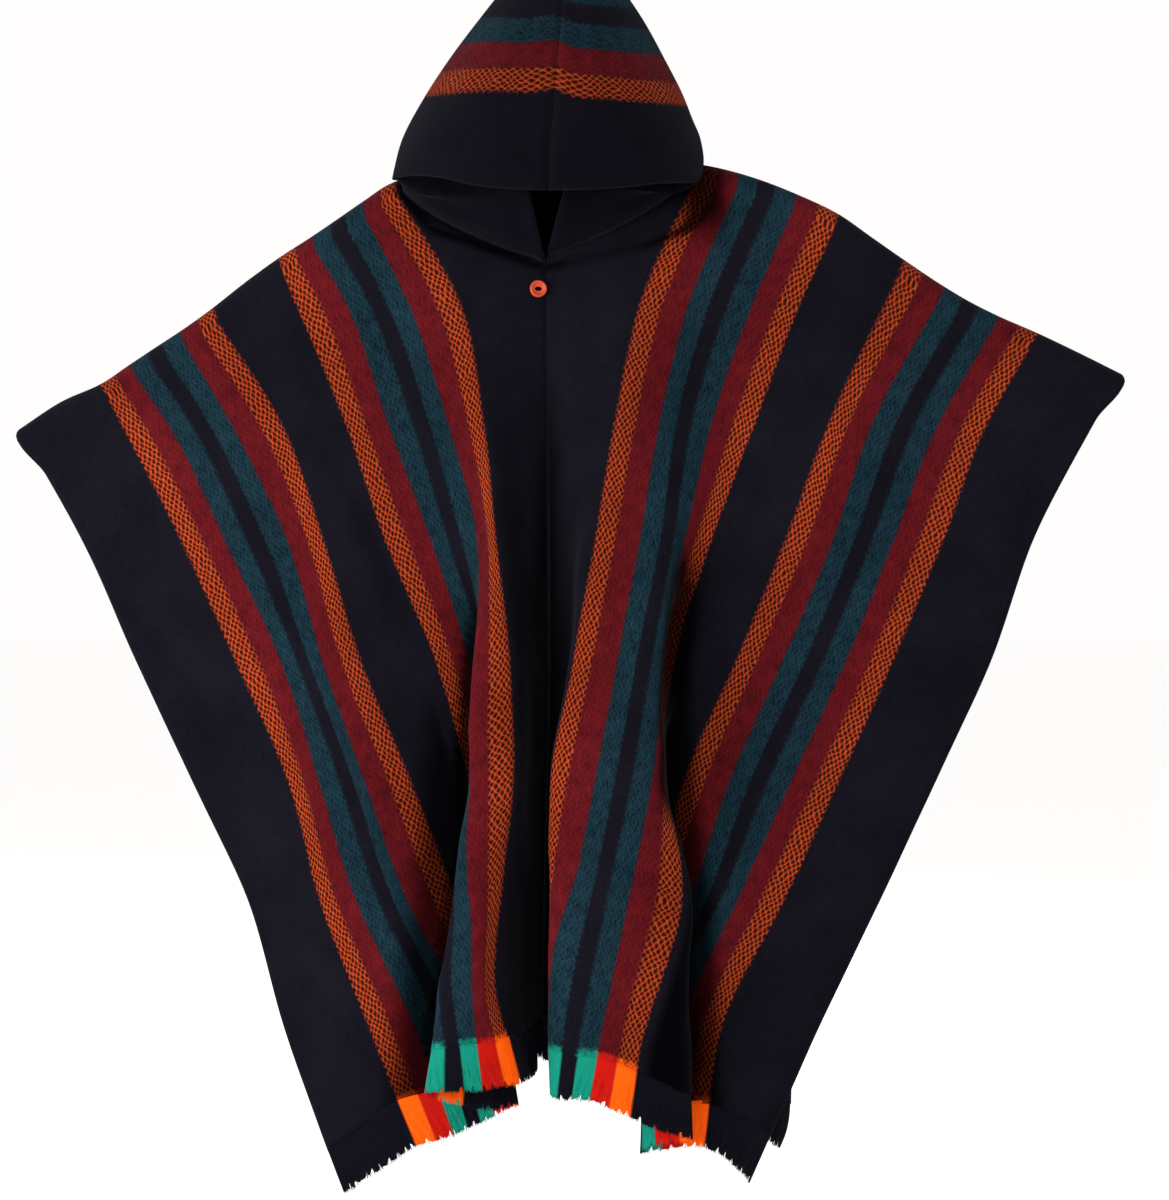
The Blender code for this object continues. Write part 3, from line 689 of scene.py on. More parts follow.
# Small shifts of the flaps' edges: place across the loom width, its reach, then drops and the shifts there.
foldShift = {
    "left": (
        (0.166, 0.024, (740, 790, 835, 880, 920), (0, -4, -9, -5, 0)),
        (0.148, 0.015, (730, 770, 830, 890), (0, 6, 6, 0)),
        (0.195, 0.024, (910, 950, 985, 1020, 1050), (0, -5, -9, -4, 0)),
        (0.114, 0.020, (890, 940, 983, 1021, 1045), (0, -5, -8, -4, 0)),
    ),
    "right": (
        (0.122, 0.024, (740, 800, 875, 920, 970), (0, -4, -13, -10, 0)),
        (0.144, 0.022, (870, 905, 950, 1000, 1040), (0, -7, -10, -3, 0)),
        (0.236, 0.022, (500, 570, 640, 700, 750), (0, -6, -14, -9, 0)),
        (0.272, 0.030, (750, 800, 860, 950, 1010, 1050), (0, 6, 11, 10, 5, 0)),
    ),
}


def shiftAt(side, w, drop):
    shift = 0.0
    for place, reach, drops, amounts in foldShift[side]:
        if drops[0] < drop < drops[-1]:
            shift += bend(drops, amounts, drop) * math.exp(-((w - place) / reach) ** 2)
    return shift


shadeSettings = {
    "cell": 4,                  # grid of the depth maps, mm
    "columns": 300,
    "lines": 340,
    "nothing": -200.0,          # depth where no cloth is
    "circles": (6, 15),         # over which depths are averaged, in cells
    "near": (1.5, 12, 0.6),     # depth below the small circle's mean where shade starts, span, strength
    "wide": (3.0, 18, 0.6),     # the same for the wide circle
    "steep": (0.7, 1.0, 0.8),   # slope to the right where shade starts, its span and strength
    "flap": 0.95,               # strength of a flap's shadow
    "neckSeam": (0.8, 0.008),   # strength and width across the loom, beside the neck seam
    "neckCrease": 4.6,          # width of the painted shade along the crease under it, mm
    "turned": (1.1, 0.247, 0.026, 540),   # right flap's turned edge: strength, place, width, first drop
    "lowFrom": 830,             # drop below which the right flap hangs free
    "middleLit": 0.6,           # share of the shade left out on the right beside the middle seam
    "corner": (1.1, (704, 192), (24, 44)),  # under the hood's right corner: strength, place, reach
    "most": 1.08,
}


def cellOf(readings):
    places = (readings[:, :, :2] / shadeSettings["cell"]).astype(int)
    column = np.clip(places[:, :, 0], 0, shadeSettings["columns"] - 1)
    line = np.clip(places[:, :, 1], 0, shadeSettings["lines"] - 1)
    return line, column


def depthMaps():
    # how far out the foremost cloth of the front lies, averaged over a small and a wide circle
    set_ = shadeSettings
    top = np.full((set_["lines"], set_["columns"]), set_["nothing"])
    for side in ("left", "right"):
        us = columnPlaces(6)
        rows = [rowOf(side, "front", 1 - k / 200) for k in range(201)]
        places = np.array([[panelAt(side, row, u)[1:] for u in us] for row in rows])
        for t in (0.0, 0.25, 0.5, 0.75):
            between = places[:, :-1] * (1 - t) + places[:, 1:] * t
            for q in (0.0, 0.33, 0.67):
                spot = between[:-1] * (1 - q) + between[1:] * q
                np.maximum.at(top, cellOf(spot), spot[:, :, 2])
    full = (top > set_["nothing"] + 1).astype(float)
    maps = []
    for reach in set_["circles"]:
        kernel = np.hanning(2 * reach + 3)[1:-1]
        sums = []
        for layer in (top * full, full):
            layer = np.apply_along_axis(np.convolve, 0, layer, kernel, "same")
            sums.append(np.apply_along_axis(np.convolve, 1, layer, kernel, "same"))
        maps.append(sums[0] / np.maximum(sums[1], 1e-6))
    return maps


# The shadow that a flap throws on the cloth behind it: from which place across, how wide, then drops and
# the flap's edge there.
flapShadow = {
    "left": (0.270, -62, (640, 690, 800, 900, 1000, 1130), (482, 474, 460, 450, 440, 428)),
    "right": (0.262, 32, (600, 720, 790, 850, 900, 1000, 1130), (673, 670, 677, 682, 690, 697, 700)),
}


# The crease below the neck seam, in across and drop; the cloth is pressed in along it and painted shade
# darkens it.
neckCrease = {
    "left": ((400, 188), (414, 212), (432, 231), (470, 244), (510, 258), (541, 267)),
    "right": ((546, 268), (590, 260), (650, 245), (684, 231), (698, 215), (704, 196)),
}


def neckDistance(side, readings):
    spots = readings[:, :, :2]
    nearest = np.full(spots.shape[:2], 1000.0)
    line = neckCrease[side]
    for one, two in zip(line, line[1:]):
        one = np.array(one, dtype=float)
        run = np.array(two, dtype=float) - one
        t = np.clip(((spots - one) @ run) / (run @ run), 0, 1)
        away = np.linalg.norm(spots - one - t[:, :, None] * run, axis=2)
        nearest = np.minimum(nearest, away)
    return nearest


def shadowAt(side, w, readings):
    start, width, drops, edges = flapShadow[side]
    edge = np.interp(readings[:, :, 1], drops, edges)
    near = np.clip(1.5 * (1 - (readings[:, :, 0] - edge) / width), 0, 1)
    near = near * near * (3 - 2 * near)
    low = np.clip((readings[:, :, 1] - drops[0]) / 90, 0, 1)
    return shadeSettings["flap"] * near * low * np.clip((w - start) / 0.008, 0, 1)


def ramp(value, start, span):
    return np.clip((value - start) / span, 0, 1)


def hollowAt(readings):
    place = cellOf(readings)
    shade = 0
    for averaged, (start, span, strength) in zip(frontDepth, (shadeSettings["near"], shadeSettings["wide"])):
        shade = shade + ramp(averaged[place] - readings[:, :, 2], start, span) * strength
    # cloth turned steeply to the right lies away from the light
    run = np.gradient(readings[:, :, 0], axis=1)
    fall = -np.gradient(readings[:, :, 2], axis=1) / np.where(np.abs(run) < 0.05, 0.05, run)
    start, span, strength = shadeSettings["steep"]
    return shade + ramp(fall, start, span) * strength


def shadeOf(side, readings, w, v, cut, front, fore):
    # darker in hollows, behind the flaps, beside the neck seam and under the hood's right corner
    set_ = shadeSettings
    drop = readings[:, :, 1]
    shade = np.maximum(hollowAt(readings), shadowAt(side, w, readings))
    shade = shade * front * ramp(np.abs(v), 0.02, 0.05)
    strength, width = set_["neckSeam"]
    shade = shade + strength * np.exp(-((w - cut) / width) ** 2) * np.clip(cut / 0.010, 0, 1) * fore
    shade = shade + np.exp(-(neckDistance(side, readings) / set_["neckCrease"]) ** 2) * fore
    if side == "right":
        high = np.clip((set_["lowFrom"] - drop) / 80, 0, 1)
        besideSeam = np.clip((0.105 - w) / 0.02, 0, 1) * ramp(w, 0.012, 0.02)
        shade = shade * (1 - set_["middleLit"] * high * besideSeam)
        strength, place, width, first = set_["turned"]
        turned = strength * np.exp(-((w - place) / width) ** 2) * high * ramp(drop, first, 90)
        shade = shade + turned * front
        strength, spot, reach = set_["corner"]
        corner = ((readings[:, :, 0] - spot[0]) / reach[0]) ** 4 + ((drop - spot[1]) / reach[1]) ** 4
        shade = shade + strength * np.exp(-corner) * fore
    return np.clip(shade, 0, set_["most"])


def makeCloth(side):
    set_ = clothSettings
    us = columnPlaces(set_["between"])
    rows = [("front", 1 - k / set_["frontRows"]) for k in range(set_["frontRows"] + 1)]
    rows += [("roll", 75 - 150 * k / (set_["rollRows"] - 1)) for k in range(set_["rollRows"])]
    rows += [("back", k / set_["backRows"]) for k in range(set_["backRows"] + 1)]
    lengths = []
    for i in range(len(stations)):
        line = []
        for k in range(25):
            d = mix(ridge[side][i][1] + loom["roll"], hems[side][i] - loom["fringe"], k / 24)
            a, o = stationAt(side, i, d)
            line.append(seat(a, d, o))
        lengths.append(sum((line[k + 1] - line[k]).length for k in range(24)))
    readings = np.zeros((len(rows), len(us), 3))
    weave = np.zeros((len(rows), len(us), 2))
    hem = np.ones((len(rows), len(us), 2))
    points = np.zeros((len(rows), len(us), 3))
    front = np.zeros((len(rows), len(us)))
    fore = np.zeros((len(rows), len(us)))
    for r, (kind, s) in enumerate(rows):
        row = rowOf(side, kind, s)
        for c, u in enumerate(us):
            w, a, d, o = panelAt(side, row, u)
            if kind == "front":
                # the selvedge starts at the very tip of the shoulder
                under = d - ridgeAt(side, w)[1] - loom["roll"]
                a += handOf(side) * set_["tip"] * (1 - smooth(under / 30)) * smooth((w - 0.515) / 0.055)
                a += shiftAt(side, w, d)
            elif kind == "roll" and s > 0:
                a += handOf(side) * set_["tip"] * smooth(s / 75) * smooth((w - 0.515) / 0.055)
            readings[r, c] = a, d, o
            points[r, c] = seat(a, d, o)
            if kind != "roll":
                hem[r, c, 0] = (1 - s) * bend(stations, lengths, w)
            if kind == "front":
                v = 0.020 + s * bend(stations, lengths, w)
            elif kind == "roll":
                v = s / 75 * 0.020
            else:
                v = -0.020 - s * bend(stations, lengths, w) * 0.97
            weave[r, c] = w, v
        front[r, :] = 1.0 if kind == "front" else 0.0
        fore[r, :] = 1.0 if kind == "front" or (kind == "roll" and s > -30) else 0.0
    normals = gridNormals(points)
    if side == "left":
        normals = -normals
    w, v = weave[:, :, 0], weave[:, :, 1]
    height = creaseHeight(side, readings, w, front)
    seed = 0.7 if side == "left" else 2.9
    slow = (np.sin(w * 47 + v * 9 + seed) * np.sin(v * 21 + 1.7 * seed)
            + 0.6 * np.sin(w * 83 - v * 31 + 3 * seed)
            + 0.4 * np.sin(w * 140 + v * 57))
    low = np.clip((np.abs(v) - 0.03) / 0.10, 0, 1) * np.clip((w - 0.012) / 0.05, 0, 1)
    height = (height + slow * set_["wander"] * 0.6) * low
    # a hollow beside the neck seam, under the roll of the hood's neck part
    cut = w[:, :1]
    hollow = np.exp(-((w - cut - 0.0085) / 0.0052) ** 2) * np.clip(cut / 0.010, 0, 1)
    height -= set_["neckHollow"] * hollow * front
    crease = np.exp(-(neckDistance(side, readings) / 5.5) ** 2)
    height -= set_["neckCrease"] * crease * front * np.clip((w - 0.006) / 0.02, 0, 1)
    points = points + normals * height[:, :, None] * 0.001
    hem[:, :, 1] = shadeOf(side, readings, w, v, cut, front, fore)
    flat = points.reshape(-1, 3)
    piece = meshPiece("cloth" + side.capitalize(), flat, gridFaces(len(rows), len(us)), clothWool,
                      {"weave": weave.reshape(-1, 2), "hem": hem.reshape(-1, 2)}, loom["thick"])
    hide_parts(side + "_panel")
    return piece, points, weave


# Fringes

fringeSettings = {
    "strands": 430,      # in each of two layers
    "radius": 0.00044,
    "tuck": 0.06,        # part of the length hidden in the cloth's end
    "ragged": 0.06,
    "lockGap": 0.30,     # how strongly strands gather into locks
    "bedColumns": 380,   # the felted bed that the strands lie on
    "bedRows": 9,
    "bedThick": 0.0015,
}


def fringeRows(side, face):
    # readings at fine steps from the cloth's end to past the strands' ends
    steps = [mix(-0.1, 1.12, k / 24) for k in range(25)]
    rows = []
    for s in steps:
        if face == "front":
            def dropOf(i):
                return mix(hems[side][i] - loom["fringe"], hems[side][i], s)
            rows.append(frontRow(side, dropOf))
        else:
            rows.append(None)
    return steps, rows


def fringeAt(side, face, steps, rows, u, s):
    place = (s - steps[0]) / (steps[1] - steps[0])
    k = max(0, min(len(steps) - 2, int(place)))
    t = place - k
    ends = []
    for j in (k, k + 1):
        if face == "front":
            ends.append(seat(*onRow(side, rows[j], u)))
        else:
            d1 = backHem(side, u)[1]
            d0 = ridgeAt(side, u)[1] + loom["roll"]
            reach = mix((d1 - loom["fringe"] - d0) / (d1 - d0), 1.0, steps[j])
            ends.append(seat(*backAt(side, u, reach, 1.0)))
    return ends[0].lerp(ends[1], t)


def makeFringe(side, face):
    set_ = fringeSettings
    rnd = random.Random(side + face)
    steps, rows = fringeRows(side, face)
    verts, faces, uvs = [], [], []
    lockWidths = []
    place = 0.0
    while place < loom["width"]:
        wide = rnd.uniform(0.006, 0.017)
        lockWidths.append((place, place + wide, rnd.uniform(-0.0010, 0.0010),
                           rnd.uniform(0.0, set_["ragged"]), rnd.uniform(-0.0012, 0.0012)))
        place += wide
    columns, rows_ = set_["bedColumns"], set_["bedRows"]
    for c in range(columns + 1):
        u = loom["width"] * c / columns
        lock = [one for one in lockWidths if one[0] <= u < one[1]] or lockWidths[-1:]
        low, high, lean, short, push = lock[0]
        toEdge = min(u - low, high - u)
        end = 0.97 - short * 0.6 - 0.03 * rnd.random() - 0.12 * math.exp(-(toEdge / 0.0011) ** 2)
        for j in range(rows_ + 1):
            t = j / rows_
            s = mix(-set_["tuck"], end, t)
            drawn = mix(u, 0.5 * (low + high), 0.10 * set_["lockGap"] * t * t) + lean * t * t
            p = fringeAt(side, face, steps, rows, max(0.0005, min(loom["width"], drawn)), s)
            p.y += push * t * t * 0.6
            thick = mix(loom["thick"] + 0.0003, set_["bedThick"], min(1, 1.6 * t))
            for half in (0.5, -0.5):
                verts.append(p + Vector((0, half * thick, 0)))
                uvs.append((u, 0.05 * t))
    step = 2 * (rows_ + 1)
    for c in range(columns):
        for j in range(rows_):
            a = c * step + 2 * j
            faces.append((a, a + 2, a + 2 + step, a + step))
            faces.append((a + 1, a + 1 + step, a + 3 + step, a + 3))
        a = c * step
        faces.append((a, a + step, a + 1 + step, a + 1))
        b = a + 2 * rows_
        faces.append((b, b + 1, b + 1 + step, b + step))
    for a in (0, columns * step):
        for j in range(rows_):
            q = (a + 2 * j, a + 2 * j + 1, a + 2 * j + 3, a + 2 * j + 2)
            faces.append(q if a == 0 else q[::-1])
    for layer in range(2):
        for k in range(set_["strands"]):
            u = (k + 0.5 * layer + rnd.uniform(0.2, 0.8)) / (set_["strands"] + 1) * loom["width"]
            lock = [one for one in lockWidths if one[0] <= u < one[1]] or lockWidths[-1:]
            low, high, lean, short, push = lock[0]
            centre = 0.5 * (low + high)
            end = 1.0 - short * 0.6 - rnd.random() ** 2 * set_["ragged"]
            if rnd.random() < 0.03:
                end -= rnd.uniform(0.05, 0.22)
            line = []
            own = rnd.uniform(-0.0008, 0.0008)
            deep = rnd.uniform(-0.0001, 0.0002) + (layer - 0.5) * 0.0013
            for j in range(6):
                t = j / 5
                s = mix(-set_["tuck"], end, t)
                drawn = mix(u, centre, 0.20 * set_["lockGap"] * t * t) + (lean + own) * t * t
                drawn = max(0.0005, min(loom["width"], drawn))
                p = fringeAt(side, face, steps, rows, drawn, s)
                p.y += deep + push * t * t * 0.6 + 0.0003 * t * math.sin(9 * t + k)
                line.append(p)
            radii = [set_["radius"] * x for x in (1, 1, 1, 0.95, 0.9, 0.45)]
            addTube(line, radii, 3, verts, faces, uvs, [(u, 0.05 * j / 5) for j in range(6)])
    name = "fringe" + side.capitalize() + face.capitalize()
    piece = meshPiece(name, verts, faces, fringeYarn, uvs)
    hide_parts(side + "_" + face + "_fringe")
    return piece


# The hood

# Outline of the hood: drop, middle of the width, half width, depth to the front, depth to the back.
hoodOutline = (
    (-50, 566, 0, 14, 14),
    (-44, 566, 24, 26, 22),
    (-30, 565, 43, 38, 28),
    (-10, 563, 59, 50, 33),
    (20, 561, 81, 70, 37),
    (60, 557, 107, 92, 40),
    (100, 554, 130, 108, 40),
    (140, 550, 147, 120, 38),
    (176, 548, 155, 126, 34),
)
hoodTurns = (0.0, 0.07, 0.14, 0.21, 0.28, 0.35, 0.41, 0.46, 0.52, 0.59, 0.67, 0.78, 0.89, 1.0)
hoodCorner = 7
rimSag = {
    "left": (9, 7, 3, -3, -5, -5, -3, 0, 3, 2, -2, -8, -13, -14),
    "right": (9, 8, 6, 3, 2, 2, 1, -6, -20, -22, -20, -17, -14, -14),
}
lipLine = {
    "left": ((527, 182, 84), (508, 187, 72), (488, 193, 62), (466, 196, 54), (444, 196, 48), (421, 193, 42),
             (404, 184, 30)),
    "right": ((567, 182, 84), (586, 185, 72), (606, 187, 62), (628, 189, 54), (650, 191, 48), (674, 193, 42),
              (692, 186, 30)),
}

hoodSettings = {
    "across": 5,         # columns between two turns
    "down": 6,           # rows between two outline rows
    "thick": 0.0022,
    "hemTurn": 0.0034,   # radius of the turned face edge
    "hemDeep": 0.024,
}

# Drops of the rim and of the bands' edges at the top seam, lowest first, and how much lower they lie to the
# sides.
hoodBands = ((193, 0.0), (90, 0.110), (67, 0.1305), (42, 0.153), (17, 0.1745), (-3, 0.1925), (-24, 0.214),
             (-50, 0.2365))
hoodSlope = ((400, 9), (430, 6), (490, 1), (530, 2), (556, 0), (575, 7), (600, 9), (650, 14), (690, 18))


def hoodMiddle(drop):
    return bend([row[0] for row in hoodOutline], [row[1] for row in hoodOutline], max(-50, min(176, drop)))


def hoodAt(side, drop, turn):
    # across and out on the hood's bag
    knots = [row[0] for row in hoodOutline]
    d = max(-50, min(176, drop))
    middle = bend(knots, [row[1] for row in hoodOutline], d)
    half = max(0.0, bend(knots, [row[2] for row in hoodOutline], d))
    fore = bend(knots, [row[3] for row in hoodOutline], d)
    aft = bend(knots, [row[4] for row in hoodOutline], d)
    c = math.cos(math.pi * turn)
    across = middle + handOf(side) * half * abs(math.sin(math.pi * turn)) ** 0.80
    return across, (fore if c > 0 else aft) * c


def neckLine(side):
    us = columnPlaces(2)
    rows = [("front", s) for s in (0.0985, 0.082, 0.062, 0.04, 0.018, 0.0)]
    rows += [("roll", a) for a in (60, 30, 0, -30, -60)]
    rows += [("back", s) for s in (0.0, 0.02, 0.042)]
    line = []
    for kind, s in rows:
        row = rowOf(side, kind, s)
        edge = seat(*panelAt(side, row, us[0])[1:])
        inward = (edge - seat(*panelAt(side, row, us[1])[1:])).normalized()
        if (kind, s) in (rows[0], rows[-1]):
            inward = Vector((0.25 * handOf(side), 0, 1))
        line.append(edge + inward * 0.0010 + Vector((0, 0, 0.0004)))
    return line


def bandPlace(drop, across):
    lower = bend([t[0] for t in hoodSlope], [t[1] for t in hoodSlope], max(400, min(690, across)))
    level = drop - lower * max(0.0, min(1.0, (193 - drop) / 100))
    return bend([-t[0] for t in hoodBands], [t[1] for t in hoodBands], -max(-50, min(193, level)))


def alongList(values, x):
    # smooth reading between the entries of an even list
    return bend(list(range(len(values))), values, x)


def makeHood(side):
    set_ = hoodSettings
    neck = neckLine(side)
    n = set_["across"]
    steps = (len(hoodTurns) - 1) * n
    turnAt = [alongList(hoodTurns, k / n) for k in range(steps + 1)]
    sagAt = [alongList(rimSag[side], k / n) for k in range(steps + 1)]
    cornerCol = hoodCorner * n
    hand = handOf(side)
    points, uvs, faces = [], [], []

    def put(p, drop, out, uv):
        room = 0.0002 + 0.0010 * smooth((-5 - drop) / 35)
        middle = seat(hoodMiddle(drop), drop, out).x
        p.x = min(p.x, middle - room) if side == "left" else max(p.x, middle + room)
        points.append(p)
        uvs.append(uv)
        return len(points) - 1

    drops = []
    for r in range(len(hoodOutline) - 1):
        for j in range(set_["down"]):
            drops.append(mix(hoodOutline[r][0], hoodOutline[r + 1][0], j / set_["down"]))
    drops.append(176)
    grid = []
    for d0 in drops:
        line = []
        for k in range(steps + 1):
            low = smooth((d0 - 110) / 66) if sagAt[k] < 0 else max(0.0, (d0 - 140) / 36) ** 1.3
            d = d0 + sagAt[k] * low
            across, out = hoodAt(side, d0, turnAt[k])
            along = turnAt[k] * 0.38
            # soft unevenness, none at the seams
            calm = math.sin(math.pi * turnAt[k])
            out += 1.6 * calm * math.sin(0.045 * d + 5 * turnAt[k] + (0 if side == "left" else 2))
            line.append(put(seat(across, d, out), d, out, (bandPlace(d, across), along)))
        grid.append(line)
    for r in range(len(grid) - 1):
        for k in range(steps):
            faces.append((grid[r][k], grid[r][k + 1], grid[r + 1][k + 1], grid[r + 1][k]))

    # the turned face edge, up to the corner
    last = grid[-1]
    turned = [last[:cornerCol + 1]]
    for j in range(1, 8):
        line = []
        for k in range(cornerCol + 1):
            base = points[last[k]]
            fade = smooth((cornerCol - k) / (1.2 * n))
            inward = Vector((0.0, 1.0, 0.0))
            if k >= cornerCol * 0.5:
                inward = Vector((-hand * 0.6, 0.8, 0.0)).normalized()
            if j <= 4:
                a = math.pi * j / 4
                move = (inward * (1 - math.cos(a)) - Vector((0, 0, math.sin(a)))) * set_["hemTurn"]
            else:
                rise = (j - 4) / 3 * set_["hemDeep"]
                lean = 0.10 + 0.28 * smooth((k - cornerCol * 0.5) / (cornerCol * 0.4))
                move = inward * (set_["hemTurn"] * 2 + lean * rise) + Vector((0, 0, 1)) * rise
            p = base + move * mix(0.15, 1.0, fade)
            d = datum["drop"] - p.z * 1000
            line.append(put(p, d, -p.y * 1000, (max(0.0, 0.004 * j), turnAt[k] * 0.38)))
        turned.append(line)
    for j in range(len(turned) - 1):
        for k in range(cornerCol):
            faces.append((turned[j][k], turned[j][k + 1], turned[j + 1][k + 1], turned[j + 1][k]))

    # the neck part, from its upper edge behind the rim down to the neck seam
    neckRows = 14
    neckXyz = [[p[i] for p in neck] for i in range(3)]
    lip = [seat(*t) for t in lipLine[side]] + [points[last[cornerCol]]]
    lipXyz = [[p[i] for p in lip] for i in range(3)]
    below = []
    inside = []
    for k in range(steps + 1):
        x = k / n
        foot = Vector([alongList(neckXyz[i], x) for i in range(3)])
        w = min(1.0, x / hoodCorner)
        if k < cornerCol:
            top = Vector([alongList(lipXyz[i], x) for i in range(3)])
        else:
            top = points[last[k]].copy()
        line = []
        for j in range(neckRows + 1):
            t = j / neckRows
            if k >= cornerCol and j == 0:
                line.append(last[k])
                continue
            p = top.lerp(foot, t)
            if k < cornerCol:
                p.y -= 0.008 * math.sin(math.pi * t) * (1 - w)
                bulge = 0.0045 * math.exp(-((t - 0.80) / 0.13) ** 2)
                p.y -= bulge * smooth(w / 0.2) * smooth((1 - w) / 0.3)
                p.y -= 0.0022 * math.sin(2 * math.pi * (1.3 * t + 0.8 * w)) * math.sin(math.pi * t)
            d = datum["drop"] - p.z * 1000
            if k == steps:
                p.x = seat(hoodMiddle(d), d, -p.y * 1000).x
            line.append(put(p, d, -p.y * 1000, (0.02 + 0.06 * t, turnAt[k] * 0.38)))
        below.append(line)
        if k < cornerCol:
            # the neck part's upper edge leans back into the hood
            back = [line[0]]
            corner = smooth((k - cornerCol + 2.2 * n) / (2.2 * n))
            for j in range(1, 5):
                t = j / 4
                rise = 0.004 * math.sin(math.pi * t) + 0.034 * t * t
                rise *= 1 - 0.75 * corner
                p = points[line[0]] + Vector((-hand * 0.012 * t * corner, 0.020 * t, rise))
                back.append(put(p, datum["drop"] - p.z * 1000, -p.y * 1000, (0.02, turnAt[k] * 0.38)))
            inside.append(back)
    for k in range(len(inside) - 1):
        for j in range(4):
            faces.append((inside[k][j + 1], inside[k + 1][j + 1], inside[k + 1][j], inside[k][j]))
    for k in range(steps):
        for j in range(neckRows):
            faces.append((below[k][j], below[k + 1][j], below[k + 1][j + 1], below[k][j + 1]))
    piece = meshPiece("hood" + side.capitalize(), points, faces, hoodWoolPaintedShade, uvs, set_["thick"])
    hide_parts("hood_" + side)
    return piece, grid, points, below[-1]


# Seams: a narrow felled roll behind each join

seamSettings = {"radius": 0.0014, "behind": 0.0016}


def makeSeam(name, line, outward, uvAt):
    verts, faces, uvs = [], [], []
    path = [p - outward[i] * seamSettings["behind"] for i, p in enumerate(line)]
    radii = [seamSettings["radius"]] * len(path)
    addTube(path, radii, 8, verts, faces, uvs, uvAt)
    piece = meshPiece(name, verts, faces, clothWool, uvs)
    return piece


def middleSeam(face):
    # the join of the two widths, from the neck opening down to the hem
    line, outward, uvAt = [], [], []
    count = 150
    for k in range(count + 1):
        s = k / count
        ends = []
        for side in ("left", "right"):
            row = rowOf(side, face, mix(0.088 if face == "front" else 0.024, 1.0, s))
            ends.append(seat(*panelAt(side, row, 0.0)[1:]))
        line.append((ends[0] + ends[1]) * 0.5)
        outward.append(Vector((0, -1.0 if face == "front" else 1.0, 0)))
        uvAt.append((0.004, s * 0.85))
    return makeSeam("seam" + face.capitalize(), line, outward, uvAt)


# The button

buttonSettings = {"radius": 0.0085, "thick": 0.0042, "place": (538, 289, 36.7), "turn": 10.0}


def makeButton():
    set_ = buttonSettings
    bm = bmesh.new()
    around = 64
    profile = ((0.40, 0.0006), (0.60, 0.0001), (0.90, 0.0), (0.985, 0.0007), (1.0, 0.0021), (0.985, 0.0032),
               (0.93, 0.0041), (0.84, 0.0043), (0.74, 0.0039), (0.64, 0.0031), (0.56, 0.0028), (0.46, 0.0028),
               (0.41, 0.0024))
    rings = []
    for r, y in profile:
        ring = []
        for k in range(around):
            a = 2 * math.pi * k / around
            narrow = 0.58 if r < 0.5 else 1.0
            wear = 1 + 0.006 * math.sin(3 * a + 1) if r > 0.9 else 1.0
            ring.append(bm.verts.new((set_["radius"] * r * math.cos(a) * wear, -y,
                                      set_["radius"] * r * math.sin(a) * narrow * wear)))
        rings.append(ring)
    for j in range(len(rings)):
        one, two = rings[j], rings[(j + 1) % len(rings)]
        for k in range(around):
            bm.faces.new((one[k], one[(k + 1) % around], two[(k + 1) % around], two[k]))
    bmesh.ops.recalc_face_normals(bm, faces=bm.faces)
    mesh = bpy.data.meshes.new("buttonDisc")
    bm.to_mesh(mesh)
    bm.free()
    mesh.polygons.foreach_set("use_smooth", [True] * len(mesh.polygons))
    mesh.materials.append(buttonOrange)
    piece = bpy.data.objects.new("buttonDisc", mesh)
    bpy.context.scene.collection.objects.link(piece)
    piece.location = seat(*set_["place"])
    piece.rotation_euler = (0.0, 0.0, math.radians(set_["turn"]))
    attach(piece, "root")
    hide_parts("button")
    return piece


# Building the pieces

print("shaping the loom widths")
frontDepth = depthMaps()   # read by hollowAt
clothPieces = {}
clothGrid = {}
for side in ("left", "right"):
    clothPieces[side], gridPoints, gridWeave = makeCloth(side)
    clothGrid[side] = (gridPoints, gridWeave)
    print("cloth", side, "done")

for side in ("left", "right"):
    [makeFringe(side, face) for face in ("front", "back")]
    print("fringes", side, "done")

hoodPieces, hoodGrids = {}, {}
for side in ("left", "right"):
    hoodPieces[side], hoodGrid, hoodPoints, napeLine = makeHood(side)
    hoodGrids[side] = (hoodGrid, hoodPoints, napeLine)
    print("hood", side, "done")

hoodLeftGrid, hoodLeftPoints, napeLeft = hoodGrids["left"]
hoodRightGrid, hoodRightPoints, napeRight = hoodGrids["right"]
crown, crownOut, crownUv = [], [], []
for end in (0, -1):
    rowsInOrder = range(len(hoodLeftGrid) - 1, -1, -1) if end == 0 else range(1, len(hoodLeftGrid))
    for r in rowsInOrder:
        p = (hoodLeftPoints[hoodLeftGrid[r][end]] + hoodRightPoints[hoodRightGrid[r][end]]) * 0.5
        crown.append(p)
        lift = smooth((p.z - 0.07) / 0.05)
        crownOut.append(Vector((0, (-1.0 if end == 0 else 1.0) * (1 - lift), lift)))
        crownUv.append((bandPlace(datum["drop"] - p.z * 1000, 556), 0.01 * r))
for one, two in zip(napeLeft[1:], napeRight[1:]):
    crown.append((hoodLeftPoints[one] + hoodRightPoints[two]) * 0.5)
    crownOut.append(Vector((0, 1, 0)))
    crownUv.append((0.02, 0.3))
middleSeam("front")
middleSeam("back")
makeSeam("seamHood", crown, crownOut, crownUv)
print("seams done")

makeButton()
print("button done")

for name, material in (("hanger_bar", hangerWood), ("hanger_hook", hookSteel)):
    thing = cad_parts[name]
    thing.data.materials.clear()
    thing.data.materials.append(material)
print("hanger finished")


# Stage

stageLook = {
    "floorDrop": -1.30,
    "floorTone": (0.985, 0.983, 0.98),
    "worldTone": (1.0, 0.985, 0.98),
    "worldStrength": 1.0,
    "keyPower": 45.0,
    "sidePower": 75.0,
    "fillPower": 6.0,
    "backPower": 31.5,
    "warm": (1.0, 0.98, 0.95),
    "floorReach": 40.0,
    "sensor": 36.0,
    "lens": 66.0,
    "eye": (0.0385, -2.2, -0.525),
}


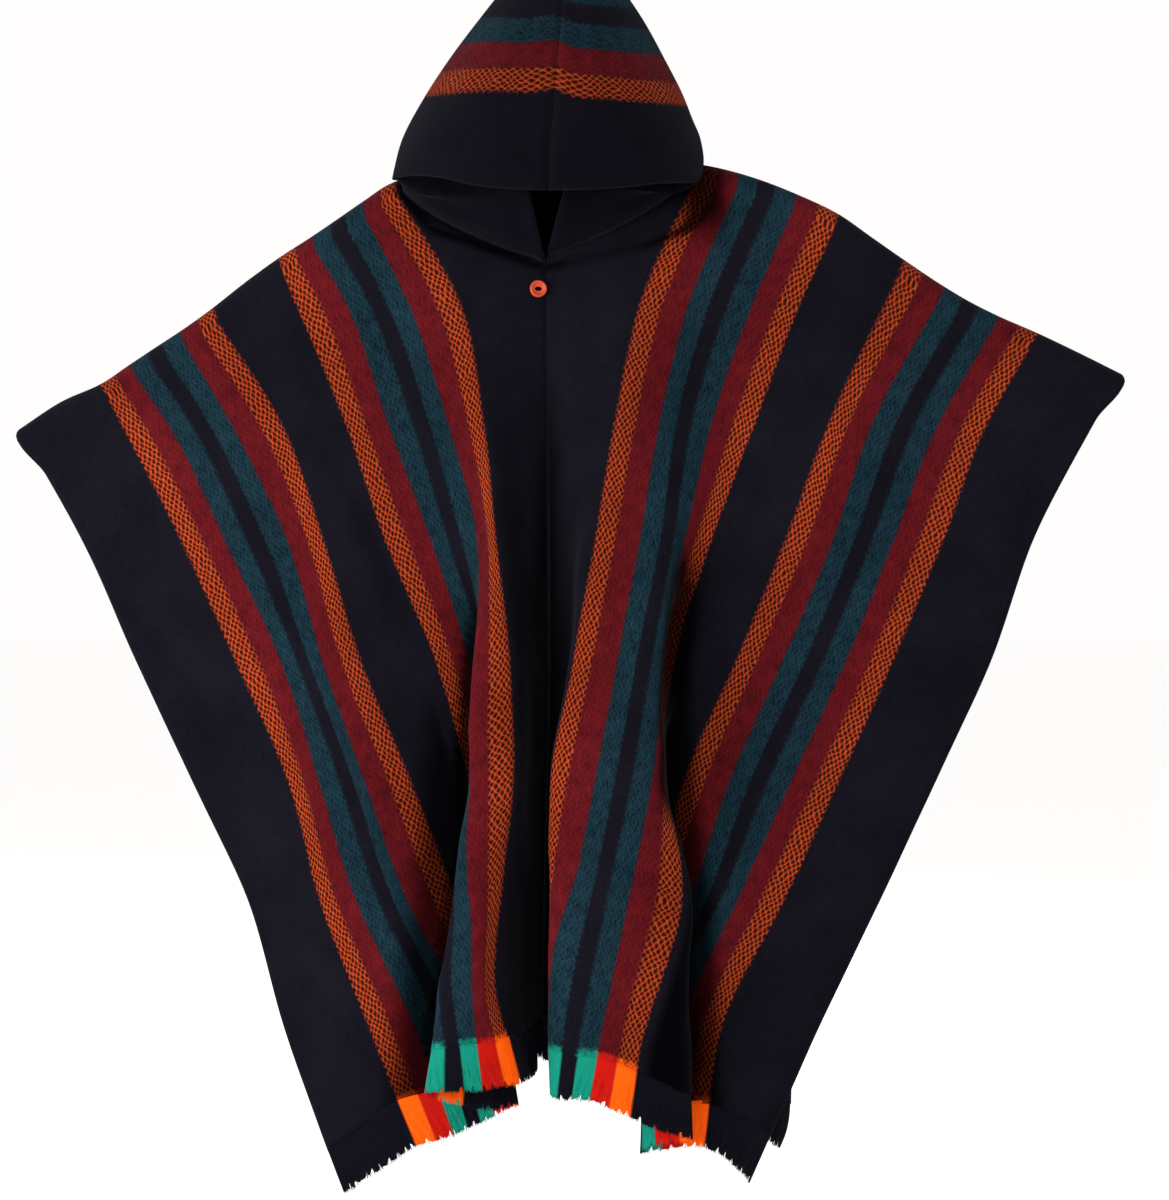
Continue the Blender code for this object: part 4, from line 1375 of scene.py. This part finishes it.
def areaLight(name, place, target, size, power, tone):
    data = bpy.data.lights.new(name, "AREA")
    data.shape = "DISK"
    data.size = size
    data.energy = power
    data.color = tone
    lamp = bpy.data.objects.new(name, data)
    lamp.location = place
    lamp.rotation_euler = (Vector(target) - Vector(place)).to_track_quat("-Z", "Y").to_euler()
    bpy.context.scene.collection.objects.link(lamp)
    return lamp


floorMesh = bpy.data.meshes.new("paleFloor")
reach = stageLook["floorReach"]
z = stageLook["floorDrop"]
floorMesh.from_pydata([(-reach, -reach, z), (reach, -reach, z), (reach, reach, z), (-reach, reach, z)], [],
                      [(0, 1, 2, 3)])
paleFloor = bpy.data.objects.new("paleFloor", floorMesh)
bpy.context.scene.collection.objects.link(paleFloor)
floorMaterial, _, floorShader = startMaterial("palePaint")
floorShader.inputs["Base Color"].default_value = stageLook["floorTone"] + (1.0,)
floorShader.inputs["Roughness"].default_value = 0.9
floorMesh.materials.append(floorMaterial)

world = bpy.context.scene.world or bpy.data.worlds.new("paleRoom")
bpy.context.scene.world = world
world.use_nodes = True
backdrop = world.node_tree.nodes.get("Background")
backdrop.inputs["Color"].default_value = stageLook["worldTone"] + (1.0,)
backdrop.inputs["Strength"].default_value = stageLook["worldStrength"]

warm = stageLook["warm"]
areaLight("keyLight", (-1.3, -3.0, 0.5), (0.05, 0.0, -0.60), 1.5, stageLook["keyPower"], warm)
areaLight("sideLight", (-2.6, -1.3, -0.9), (0.0, 0.0, -0.65), 1.2, stageLook["sidePower"], warm)
areaLight("fillLight", (2.2, -2.4, 0.2), (0.0, 0.0, -0.6), 2.0, stageLook["fillPower"], (0.95, 0.97, 1.0))
areaLight("backLight", (0.6, 3.0, 1.0), (0.0, 0.0, -0.5), 2.0, stageLook["backPower"], (1.0, 0.99, 0.97))

camera = bpy.data.objects.new("photoCamera", bpy.data.cameras.new("photoCamera"))
camera.data.sensor_width = stageLook["sensor"]
camera.data.lens = stageLook["lens"]
camera.location = stageLook["eye"]
camera.rotation_euler = (math.radians(90), 0.0, 0.0)
bpy.context.scene.collection.objects.link(camera)
bpy.context.scene.camera = camera
bpy.context.scene.view_settings.view_transform = "Standard"
print("stage set")
